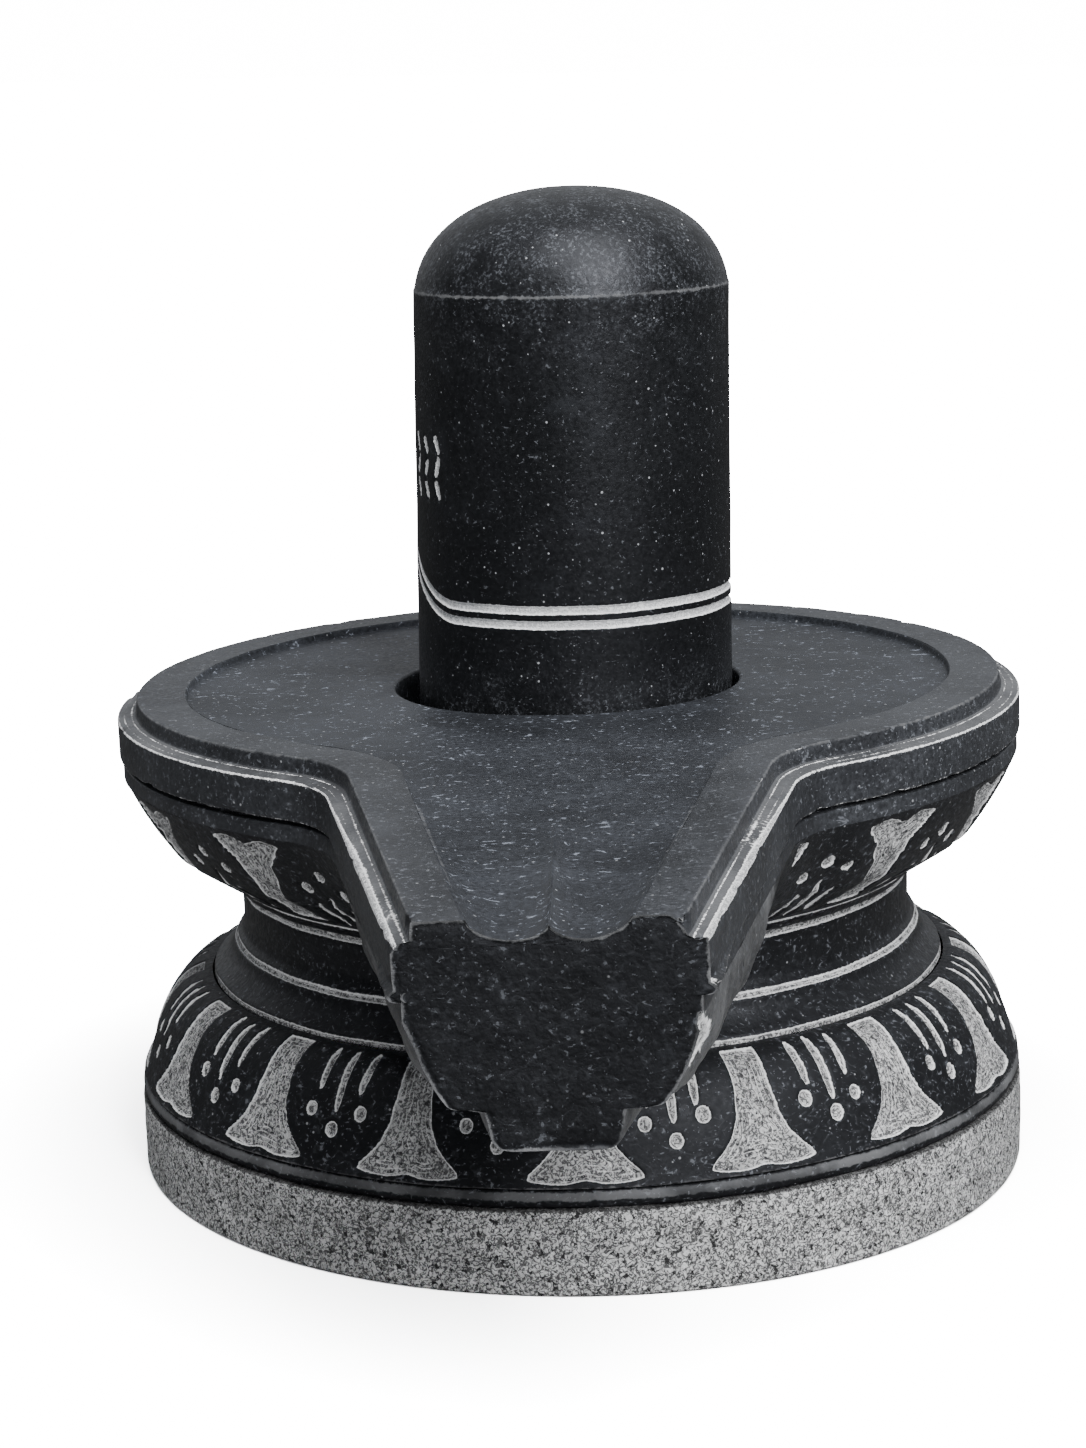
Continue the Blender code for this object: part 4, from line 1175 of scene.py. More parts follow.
@dataclass
class Shaft:
    """The domed stone that stands loose in the socket."""

    levels: Levels
    radius: float = 0.0526
    top_radius: float = 0.0519
    shows: float = 0.1320
    sunk: float = 0.0597
    lean: float = 0.0168
    offset: float = 0.0020
    body_lean: float = 0.83
    dome_height: float = 0.0323
    dome_sink: float = 0.0045
    dome_squareness: float = 2.2
    dome_inset: float = 0.0003
    ring_low: float = 0.0278
    ring_spacing: float = 0.0048
    ring_width: float = 0.0028
    ring_depth: float = 0.0007
    carved_side: float = -100.0
    peak_rise: float = 0.0300
    peak_half_angle: float = 52.0
    peak_sharpness: float = 1.7
    sign_low: float = 0.0018
    sign_length: float = 0.0072
    sign_width: float = 0.0026
    sign_row_spacing: float = 0.0074
    sign_rows: int = 3
    signs_in_row: int = 11
    sign_angle: float = 8.6
    sign_tilt: float = 0.3
    line_wander: float = 0.00035
    unevenness: Lumps = Lumps(0.00022, 0.022, 2, 85)
    columns: int = 420
    foot_rows: int = 22
    ring_rows: int = 34
    panel_rows: int = 72
    dome_rows: int = 34
    hidden_rows: tuple[float, ...] = (-0.020, -0.004)
    shown_from: float = -0.002
    ring_margin: float = 0.0018
    foot_chamfer: float = 0.0015
    crease_lift: float = 0.0008
    peak_radius: float = 0.0004

    def ring_height(self, angles: np.ndarray, base: float) -> np.ndarray:
        """Return the height of an engraved line, which peaks on the carved side."""
        away = np.abs(folded(angles - self.carved_side))
        share = np.clip(1 - away / self.peak_half_angle, 0.0, 1.0)
        return base + self.peak_rise * share ** self.peak_sharpness

    def radius_at(self, height: np.ndarray) -> np.ndarray:
        """Return the shaft's radius at heights over the dish."""
        share = np.clip(height / self.shows, 0.0, 1.0)
        return self.radius + (self.top_radius - self.radius) * share

    def row_heights(self, angles: np.ndarray) -> np.ndarray:
        """Return the rows' heights over the dish at each angle, from the foot to the crease."""
        foot, margin = -self.sunk, self.ring_margin
        rows = [np.full_like(angles, value)
                for value in (foot, foot + self.foot_chamfer, *self.hidden_rows)]
        lower = self.ring_height(angles, self.ring_low)
        upper = lower + self.ring_spacing
        for share in np.linspace(0.0, 1.0, self.foot_rows)[:-1]:
            rows.append(self.shown_from + (lower - margin - self.shown_from) * share)
        for share in np.linspace(0.0, 1.0, self.ring_rows):
            rows.append(lower - margin + (self.ring_spacing + 2 * margin) * share)
        for share in np.linspace(0.0, 1.0, self.panel_rows)[1:]:
            rows.append(upper + margin + (self.shows - upper - margin) * share)
        return np.stack(rows)

    def signs(self, angles: np.ndarray, heights: np.ndarray) -> np.ndarray:
        """Return millimetres inside the rows of short strokes, less than 0 outside."""
        per_degree = math.radians(1.0) * self.radius
        base = self.ring_height(np.array(self.carved_side), self.ring_low)
        inside = np.full(heights.shape, -FAR_AWAY)
        middle = (self.signs_in_row - 1) / 2
        start = float(base) + self.ring_spacing + self.ring_width / 2
        for k, i in product(range(self.sign_rows), range(self.signs_in_row)):
            tilt = self.sign_length * self.sign_tilt * (1 if k % 2 else -1)
            low = start + self.sign_low + self.sign_row_spacing * k
            tall = self.sign_length * (0.9 - 0.12 * (i % 2))
            away = folded(angles - self.carved_side - (i - middle) * self.sign_angle)
            share = np.clip((heights - low) / tall, 0.0, 1.0)
            across = np.abs(away * per_degree - tilt * (share - 0.5))
            half = self.sign_width / 2 * tapered(share)
            depth = np.minimum(half - across, np.minimum(heights - low, low + tall - heights))
            inside = np.maximum(inside, depth / MILLIMETRE)
        return inside

    def build(self) -> bpy.types.Object:
        """Return the shaft and its dome."""
        angles = self.carved_side + 180.0 + np.arange(self.columns) * 360.0 / self.columns
        heights = self.row_heights(angles)
        radius = self.radius_at(heights)
        radius[0] -= self.foot_chamfer
        lower = self.ring_height(angles, self.ring_low)
        on_line = polar(angles, np.array(self.radius), lower)
        wander = self.line_wander * value_noise(on_line, 0.012, 83)
        inside = np.full(heights.shape, -FAR_AWAY)
        for line in (lower, lower + self.ring_spacing):
            gap = np.abs(heights - line - wander)
            inside = np.maximum(inside, (self.ring_width / 2 - gap) / MILLIMETRE)
        inside = np.maximum(inside, self.signs(angles, heights))
        dome, dome_radius = self.dome()
        grid = (self.dome_rows, self.columns)
        heights = np.concatenate((heights, np.broadcast_to(dome[:, None], grid)))
        radius = np.concatenate((radius, np.broadcast_to(dome_radius[:, None], grid)))
        inside = np.concatenate((inside, np.full(grid, -FAR_AWAY)))
        points = polar(angles, radius, heights)
        cut = chiselled(points, inside, self.ring_depth, 81)
        relief = self.unevenness.at(points) - cut
        points = points + outward(points, True) * relief[..., None]
        points[..., 0] += self.offset + self.lean * points[..., 2]
        points[..., 2] += self.levels.dish_floor
        lean = Lean((0.0,), (self.body_lean,))
        # The polished finish paints the stone along this crease lighter: a painted highlight on the
        # crease.
        crease = np.abs(heights - self.shows) / MILLIMETRE
        foot = np.zeros((1, self.columns, 3)) + (0.0, 0.0, self.levels.dish_floor - self.sunk)
        sole = np.concatenate((foot, points[:1]))
        return stone_piece("shaft", [Sheet(points, True, inside, crease), Sheet(sole, True)], lean)

    def dome(self) -> tuple[np.ndarray, np.ndarray]:
        """Return the dome's heights over the dish and its radii, up to the peak."""
        full = self.dome_height + self.dome_sink
        power = self.dome_squareness
        started = (1 - (self.dome_sink / full) ** power) ** (1 / power)
        rise = self.dome_height * np.sin(np.pi / 2 * np.linspace(0.0, 1.0, self.dome_rows))
        share = (self.dome_sink + rise) / full
        width = np.clip(1 - share ** power, 0.0, 1.0) ** (1 / power) / started
        radius = (self.top_radius - self.dome_inset) * width
        heights = self.shows + rise
        heights[0] += self.crease_lift
        radius[-1] = self.peak_radius
        return heights, radius


# Shading


Socket = bpy.types.NodeSocket
Value = Socket | float
Colour = tuple[float, float, float, float]


# How much bluer than red the pale stone is, and how far its green follows the blue.
PALE_BLUE = 1.01
GREEN_SHARE = 0.32


def grey(level: float, blue: float = 1.05) -> Colour:
    """Return a grey of the stone, a little bluer than it is red."""
    return (level, level * (1 + (blue - 1) * GREEN_SHARE), level * blue, 1.0)


class Wiring:
    """Short ways to place and link the nodes of one material or group."""

    def __init__(self, tree: bpy.types.NodeTree) -> None:
        """Keep the tree that the nodes go into."""
        self.tree = tree

    def node(self, kind: str, **settings: str | bool) -> bpy.types.Node:
        """Return a new node of a kind, with settings such as its operation."""
        made = self.tree.nodes.new(kind)
        for name, value in settings.items():
            setattr(made, name, value)
        return made

    def feed(self, socket: Socket, value: Value | Colour) -> None:
        """Link a socket to another, or set its value."""
        if isinstance(value, bpy.types.NodeSocket):
            self.tree.links.new(value, socket)
        else:
            socket.default_value = value

    def math(self, operation: str, *values: Value, clamp: bool = False) -> Socket:
        """Return the result of a Math node."""
        made = self.node("ShaderNodeMath", operation=operation, use_clamp=clamp)
        for socket, value in zip(made.inputs, values):
            self.feed(socket, value)
        return made.outputs[0]

    def times(self, *values: Value) -> Socket:
        """Return the product of values."""
        total = values[0]
        for value in values[1:]:
            total = self.math("MULTIPLY", total, value)
        return total

    def step(self, value: Value, low: Value, high: Value) -> Socket:
        """Return 0 at low, 1 at high and a smooth change between, either way round."""
        made = self.node("ShaderNodeMapRange", interpolation_type="SMOOTHSTEP")
        self.feed(made.inputs["Value"], value)
        self.feed(made.inputs["From Min"], low)
        self.feed(made.inputs["From Max"], high)
        return made.outputs[0]

    def span(self, value: Value, low: float, high: float) -> Socket:
        """Return a value from 0 to 1 spread from low to high."""
        made = self.node("ShaderNodeMapRange")
        self.feed(made.inputs["Value"], value)
        self.feed(made.inputs["To Min"], low)
        self.feed(made.inputs["To Max"], high)
        return made.outputs[0]

    def mix(self, share: Value, first: Socket | Colour, second: Socket | Colour) -> Socket:
        """Return a colour a share of the way from the first to the second."""
        made = self.node("ShaderNodeMix", data_type="RGBA")
        self.feed(made.inputs[0], share)
        self.feed(made.inputs[6], first)
        self.feed(made.inputs[7], second)
        return made.outputs[2]

    def place(self, stretch: tuple[float, float, float] = (1.0, 1.0, 1.0),
              shift: float = 0.0) -> Socket:
        """Return the place on the piece in metres, stretched along axes and shifted."""
        where = self.node("ShaderNodeTexCoord").outputs["Object"]
        made = self.node("ShaderNodeMapping", vector_type="TEXTURE")
        self.feed(made.inputs["Vector"], where)
        made.inputs["Location"].default_value = (shift, shift * 0.6, -shift)
        made.inputs["Scale"].default_value = stretch
        return made.outputs[0]

    def noise(self, where: Socket, grain: Value, detail: float = 3.0, harsh: float = 0.5,
              twist: float = 0.0) -> Socket:
        """Return noise from 0 to 1.

        Args:
            where: the place.
            grain: the size of the bumps in millimetres.
            detail: how many finer sizes are added.
            harsh: how strong the finer sizes are.
            twist: how much the bumps are bent.

        Returns:
            The noise.
        """
        made = self.node("ShaderNodeTexNoise")
        self.feed(made.inputs["Vector"], where)
        self.feed(made.inputs["Scale"], self.math("DIVIDE", 1000.0, grain))
        self.feed(made.inputs["Detail"], detail)
        self.feed(made.inputs["Roughness"], harsh)
        self.feed(made.inputs["Distortion"], twist)
        return made.outputs[0]

    def attribute(self, name: str) -> Socket:
        """Return a value that the mesh carries."""
        made = self.node("ShaderNodeAttribute", attribute_type="GEOMETRY", attribute_name=name)
        return made.outputs["Fac"]

    def group(self, name: str, **values: Value) -> bpy.types.NodeOutputs:
        """Place a group with its inputs set or linked, and return its outputs."""
        made = self.node("ShaderNodeGroup")
        made.node_tree = bpy.data.node_groups[name]
        for key, value in values.items():
            self.feed(made.inputs[key], value)
        return made.outputs

    def bump(self, height: Socket, depth: float, under: Socket | None = None) -> Socket:
        """Return a normal bent by a height of a depth in millimetres."""
        made = self.node("ShaderNodeBump")
        self.feed(made.inputs["Height"], height)
        made.inputs["Distance"].default_value = depth * MILLIMETRE
        made.inputs["Strength"].default_value = 1.0
        if under is not None:
            self.feed(made.inputs["Normal"], under)
        return made.outputs[0]


def new_material(name: str) -> tuple[bpy.types.Material, Wiring, bpy.types.Node]:
    """Return a new material, the wiring of its nodes and its main shader."""
    made = bpy.data.materials.new(name)
    made.use_nodes = True
    return made, Wiring(made.node_tree), made.node_tree.nodes["Principled BSDF"]


@dataclass
class GroupDraft:
    """A shader node group under construction."""

    name: str
    inputs: dict[str, float]
    outputs: tuple[str, ...]
    wires: Wiring = field(init=False)
    given: dict[str, Socket] = field(init=False)
    taken: dict[str, Socket] = field(init=False)

    def __post_init__(self) -> None:
        """Start the tree and its sockets."""
        tree = bpy.data.node_groups.new(self.name, "ShaderNodeTree")
        for key, value in self.inputs.items():
            made = tree.interface.new_socket(key, in_out="INPUT",
                                             socket_type="NodeSocketFloat")
            made.default_value = value
        for key in self.outputs:
            tree.interface.new_socket(key, in_out="OUTPUT", socket_type="NodeSocketFloat")
        self.wires = Wiring(tree)
        begin = self.wires.node("NodeGroupInput")
        end = self.wires.node("NodeGroupOutput")
        self.given = {key: begin.outputs[key] for key in self.inputs}
        self.taken = {key: end.inputs[key] for key in self.outputs}


class Effects:
    """The node groups that the finishes share."""

    def build(self) -> None:
        """Make every group."""
        self.ragged_border()
        self.scratches()
        self.specks()
        self.chisel_marks()
        self.tool_ridge_highlights()
        self.stone_clouds()
        self.dust()

    def ragged_border(self) -> None:
        """Make the group that turns a distance into a mask with a hand-cut border."""
        draft = GroupDraft("ragged_border", {"Distance": 0.0, "Grain": 1.2, "Ragged": 0.5,
                                             "Soft": 0.12}, ("Mask",))
        wires, given = draft.wires, draft.given
        wander = wires.math("SUBTRACT", wires.noise(wires.place(), given["Grain"], 3.0, 0.6), 0.5)
        reach = wires.math("MULTIPLY", given["Ragged"], 4.0)
        moved = wires.math("MULTIPLY_ADD", wander, reach, given["Distance"])
        below = wires.math("MULTIPLY", given["Soft"], -1.0)
        wires.feed(draft.taken["Mask"], wires.step(moved, below, given["Soft"]))

    def scratches(self) -> None:
        """Make the group of short, curved, fine scratches in two sizes."""
        draft = GroupDraft("scratches", {"Grain": 2.6, "Width": 0.06, "Amount": 0.5},
                           ("Mask", "Faint"))
        wires, given = draft.wires, draft.given
        found = []
        for shift, size, stretch in ((0.0, 1.0, (1.0, 1.0, 1.0)), (0.37, 1.5, (1.6, 1.0, 0.8))):
            where = wires.place(stretch, shift)
            grain = wires.math("MULTIPLY", given["Grain"], size)
            course = wires.math("SUBTRACT", wires.noise(where, grain, 1.5, 0.4, 0.6), 0.5)
            line = wires.step(wires.math("ABSOLUTE", course), given["Width"],
                              wires.math("MULTIPLY", given["Width"], 0.35))
            gate = wires.noise(wires.place(shift=shift + 0.2),
                               wires.math("MULTIPLY", grain, 0.55), 2.0, 0.6)
            limit = wires.math("MULTIPLY_ADD", given["Amount"], -0.30, 0.72)
            kept = wires.step(gate, limit, wires.math("ADD", limit, 0.05))
            found.append(wires.times(line, kept))
            faint = wires.times(line, wires.step(gate, 0.40, 0.60))
        wires.feed(draft.taken["Mask"], wires.math("MAXIMUM", *found))
        wires.feed(draft.taken["Faint"], faint)

    def specks(self) -> None:
        """Make the group of small grains that are lighter than the stone."""
        draft = GroupDraft("specks", {"Grain": 2.0, "Size": 0.2, "Amount": 0.3}, ("Mask",))
        wires, given = draft.wires, draft.given
        cells = wires.node("ShaderNodeTexVoronoi", feature="F1")
        wires.feed(cells.inputs["Vector"], wires.place())
        wires.feed(cells.inputs["Scale"], wires.math("DIVIDE", 1000.0, given["Grain"]))
        shade = wires.node("ShaderNodeSeparateColor")
        wires.feed(shade.inputs[0], cells.outputs["Color"])
        chosen = wires.math("LESS_THAN", shade.outputs[0], given["Amount"])
        size = wires.times(given["Size"], wires.math("ADD", shade.outputs[1], 0.35))
        dot = wires.step(cells.outputs["Distance"], size, wires.math("MULTIPLY", size, 0.4))
        wires.feed(draft.taken["Mask"], wires.times(dot, chosen))

    def chisel_marks(self) -> None:
        """Make the group of worm-like pits and crumbs that hand tools leave."""
        draft = GroupDraft("chisel_marks", {"Grain": 1.2, "Pits": 0.5}, ("Tone", "Height"))
        wires, given = draft.wires, draft.given
        grain = given["Grain"]
        course = wires.math("SUBTRACT", wires.noise(wires.place(), grain, 1.5, 0.45, 0.9), 0.5)
        worm = wires.step(wires.math("ABSOLUTE", course), 0.02, 0.11)
        holes = wires.noise(wires.place(shift=0.31), wires.math("MULTIPLY", grain, 1.45), 3.0, 0.6)
        limit = wires.math("MULTIPLY_ADD", given["Pits"], 0.20, 0.30)
        solid = wires.step(holes, wires.math("SUBTRACT", limit, 0.05),
                           wires.math("ADD", limit, 0.03))
        broad = wires.noise(wires.place(shift=0.57), wires.math("MULTIPLY", grain, 6.5), 3.0, 0.6)
        fine = wires.noise(wires.place(shift=0.73), wires.math("MULTIPLY", grain, 0.45), 2.0, 0.6)
        tone = wires.times(wires.span(worm, 0.12, 1.0), wires.span(solid, 0.02, 1.0),
                           wires.span(wires.step(broad, 0.32, 0.70), 0.70, 1.0),
                           wires.span(wires.step(fine, 0.30, 0.70), 0.62, 1.0))
        wires.feed(draft.taken["Tone"], tone)
        wires.feed(draft.taken["Height"], wires.times(wires.span(worm, 0.5, 1.0), solid))

    def tool_ridge_highlights(self) -> None:
        """Make the mask of broken ridge lines that follow the outline of a carved place, painted
        lighter as a highlight.
        """
        draft = GroupDraft("tool_ridge_highlights", {"Distance": 0.0, "Spacing": 1.4}, ("Mask",))
        wires, given = draft.wires, draft.given
        wobble = wires.math("SUBTRACT", wires.noise(wires.place(), 3.5, 2.0), 0.5)
        phase = wires.math("MULTIPLY_ADD", wobble, 1.4,
                           wires.math("DIVIDE", given["Distance"], given["Spacing"]))
        wave = wires.math("PINGPONG", phase, 0.5)
        gate = wires.step(wires.noise(wires.place(shift=0.41), 5.0, 3.0), 0.40, 0.58)
        wires.feed(draft.taken["Mask"], wires.times(wires.step(wave, 0.34, 0.48), gate))

    def stone_clouds(self) -> None:
        """Make the group of soft clouds that lighten and darken the stone."""
        draft = GroupDraft("stone_clouds", {"Grain": 30.0}, ("Cloud", "Fine", "Smudge"))
        wires, given = draft.wires, draft.given
        wide = wires.noise(wires.place(), given["Grain"], 5.0, 0.6, 0.5)
        wires.feed(draft.taken["Cloud"], wires.step(wide, 0.34, 0.68))
        fine = wires.noise(wires.place(shift=0.23), 1.5, 4.0, 0.65)
        wires.feed(draft.taken["Fine"], wires.step(fine, 0.32, 0.70))
        patch = wires.noise(wires.place(shift=0.49), wires.math("MULTIPLY", given["Grain"], 0.5),
                            6.0, 0.72, 0.3)
        wires.feed(draft.taken["Smudge"], wires.step(patch, 0.54, 0.72))

    def dust(self) -> None:
        """Make the group of patchy dust between two heights."""
        draft = GroupDraft("dust", {"Start": 0.0, "Full": 1.0}, ("Mask",))
        wires, given = draft.wires, draft.given
        parts = wires.node("ShaderNodeSeparateXYZ")
        wires.feed(parts.inputs[0], wires.place())
        deep = wires.step(parts.outputs[2], given["Start"], given["Full"])
        patches = wires.step(wires.noise(wires.place(shift=0.67), 9.0, 6.0, 0.75), 0.40, 0.62)
        grains = wires.step(wires.noise(wires.place(shift=0.83), 1.1, 3.0, 0.7), 0.50, 0.64)
        wires.feed(draft.taken["Mask"], wires.times(deep, patches, wires.span(grains, 0.04, 0.8)))


@dataclass(frozen=True)
class StoneFinish:
    """One finish of the dark stone, with its chiselled and worn places and its painted highlights.
    """

    name: str
    dark: float = 0.0045
    light: float = 0.0120
    blue: float = 1.20
    roughness: tuple[float, float] = (0.36, 0.52)
    specular: float = 0.38
    gleam: Colour = (0.88, 0.91, 1.0, 1.0)
    cloud_grain: float = 30.0
    smudge_tone: float = 0.035
    smudge_amount: float = 0.3
    scratch_grain: float = 2.6
    scratch_width: float = 0.05
    scratch_amount: float = 0.4
    scratch_tone: float = 0.12
    faint_amount: float = 0.25
    speck_grain: float = 2.2
    speck_amount: float = 0.15
    speck_tone: float = 0.30
    pale_low: float = 0.04
    pale_high: float = 0.66
    pale_grain: float = 1.5
    pale_pits: float = 0.45
    outline_highlight_tone: float = 1.0
    ragged: float = 0.16
    wear_and_highlight_reach: float = 0.5
    wear_and_highlight_tone: float = 0.25
    wear_and_highlight_amount: float = 0.0
    bump_depth: float = 0.05
    pale_bump: float = 0.30
    dust: tuple[tuple[float, float], ...] = ()
    dust_tone: float = 0.10

    def dark_stone(self, wires: Wiring, clouds: bpy.types.NodeOutputs,
                   marks: bpy.types.NodeOutputs) -> Socket:
        """Return the colour of the uncarved stone, with its scratches and specks."""
        tone = wires.times(wires.span(clouds["Cloud"], 0.35, 1.0),
                           wires.span(clouds["Fine"], 0.25, 1.0))
        colour = wires.mix(tone, grey(self.dark, self.blue), grey(self.light, self.blue))
        smudge = wires.times(clouds["Smudge"], self.smudge_amount)
        colour = wires.mix(smudge, colour, grey(self.smudge_tone, self.blue + 0.08))
        for reach in self.dust:
            dusty = wires.group("dust", Start=reach[0], Full=reach[1])[0]
            colour = wires.mix(dusty, colour, grey(self.dust_tone, self.blue))
        colour = wires.mix(wires.times(marks["Faint"], self.faint_amount), colour,
                           grey(self.scratch_tone * 0.6, self.blue))
        colour = wires.mix(wires.times(marks["Mask"], 0.85), colour,
                           grey(self.scratch_tone, self.blue))
        specks = wires.group("specks", Grain=self.speck_grain, Amount=self.speck_amount)[0]
        return wires.mix(wires.times(specks, 0.9), colour, grey(self.speck_tone, 1.08))

    def worn(self, wires: Wiring, clouds: bpy.types.NodeOutputs, colour: Socket) -> Socket:
        """Return the colour lighter along worn edges, and along edges painted lighter as
        highlights.
        """
        reach = wires.math("SUBTRACT", self.wear_and_highlight_reach, wires.attribute("edge"))
        worn = wires.group("ragged_border", Distance=reach, Grain=2.6, Ragged=0.55, Soft=0.3)[0]
        share = wires.times(worn, wires.span(clouds["Cloud"], 0.3, 1.0), self.wear_and_highlight_amount)
        return wires.mix(share, colour, grey(self.wear_and_highlight_tone))

    def carved_stone(self, wires: Wiring, inside: Socket, chisel: bpy.types.NodeOutputs) -> Socket:
        """Return the colour of the chiselled pale ground, with a painted highlight along its
        outline and ridge lines.
        """
        ground = wires.mix(chisel["Tone"], grey(self.pale_low), grey(self.pale_high, PALE_BLUE))
        # Painted highlight: the outline and the ridge lines are painted lighter than the ground, as
        # raised edges that catch the light.
        rim = wires.group("ragged_border", Distance=wires.math("SUBTRACT", 0.40, inside),
                          Grain=1.1, Ragged=0.14, Soft=0.18)[0]
        ridge_highlights = wires.group("tool_ridge_highlights", Distance=inside)[0]
        lit = wires.math("MAXIMUM", wires.times(rim, 0.85), wires.times(ridge_highlights, 0.6))
        return wires.mix(lit, ground, grey(self.outline_highlight_tone, PALE_BLUE))

    def material(self) -> bpy.types.Material:
        """Return the finish as a procedural material."""
        made, wires, shader = new_material(self.name)
        clouds = wires.group("stone_clouds", Grain=self.cloud_grain)
        marks = wires.group("scratches", Grain=self.scratch_grain, Width=self.scratch_width,
                            Amount=self.scratch_amount)
        colour = self.dark_stone(wires, clouds, marks)
        if self.wear_and_highlight_amount:
            colour = self.worn(wires, clouds, colour)
        inside = wires.attribute("pale")
        pale = wires.group("ragged_border", Distance=inside, Grain=1.3, Ragged=self.ragged,
                           Soft=0.10)[0]
        chisel = wires.group("chisel_marks", Grain=self.pale_grain, Pits=self.pale_pits)
        ground = self.carved_stone(wires, inside, chisel)
        wires.feed(shader.inputs["Base Color"], wires.mix(pale, colour, ground))
        smooth = wires.span(clouds["Fine"], *self.roughness)
        scuffed = wires.math("MULTIPLY_ADD", marks["Mask"], 0.2, smooth)
        dull = wires.math("SUBTRACT", 0.92, scuffed)
        wires.feed(shader.inputs["Roughness"], wires.math("MULTIPLY_ADD", pale, dull, scuffed))
        shader.inputs["Specular IOR Level"].default_value = self.specular
        shader.inputs["Specular Tint"].default_value = self.gleam
        shallow = wires.math("SUBTRACT", clouds["Fine"], marks["Mask"])
        normal = wires.bump(shallow, self.bump_depth)
        deep = wires.times(chisel["Height"], pale)
        wires.feed(shader.inputs["Normal"], wires.bump(deep, self.pale_bump, normal))
        return made


@dataclass(frozen=True)
class DressedFinish:
    """Bush-hammered stone, as on the plinth."""

    name: str = "bush_hammered_stone"
    low: float = 0.022
    high: float = 1.0
    foot_tone: float = 0.020
    grain: float = 1.40
    pits: float = 0.48
    bump_depth: float = 0.40
    foot_reach: float = 0.7

    def material(self) -> bpy.types.Material:
        """Return the finish as a procedural material."""
        made, wires, shader = new_material(self.name)
        marks = wires.group("chisel_marks", Grain=self.grain, Pits=self.pits)
        coarse = wires.group("chisel_marks", Grain=self.grain * 2.1, Pits=0.25)
        clouds = wires.group("stone_clouds", Grain=34.0)
        tone = wires.times(marks["Tone"], wires.span(coarse["Tone"], 0.88, 1.0),
                           wires.span(clouds["Cloud"], 0.92, 1.0))
        colour = wires.mix(tone, grey(self.low), grey(self.high, PALE_BLUE))
        edge = wires.math("SUBTRACT", self.foot_reach, wires.attribute("edge"))
        foot = wires.group("ragged_border", Distance=edge, Grain=2.0, Ragged=0.3, Soft=0.3)[0]
        colour = wires.mix(wires.times(foot, 0.85), colour, grey(self.foot_tone))
        wires.feed(shader.inputs["Base Color"], colour)
        shader.inputs["Roughness"].default_value = 0.93
        shader.inputs["Specular IOR Level"].default_value = 0.3
        wires.feed(shader.inputs["Normal"], wires.bump(marks["Height"], self.bump_depth))
        return made


# The studio


@dataclass(frozen=True)
class Softbox:
    """A soft light: its place and size in metres, and its strength in watts."""

    name: str
    place: tuple[float, float, float]
    size: tuple[float, float]
    power: float

    def hang(self, aim: Vector) -> None:
        """Hang the light so that it faces a place."""
        lamp = bpy.data.lights.new(self.name, "AREA")
        lamp.shape = "RECTANGLE"
        lamp.size, lamp.size_y = self.size
        lamp.energy = self.power
        hung = bpy.data.objects.new(self.name, lamp)
        hung.location = self.place
        facing = aim - Vector(self.place)
        hung.rotation_euler = facing.to_track_quat("-Z", "Y").to_euler()
        bpy.context.scene.collection.objects.link(hung)


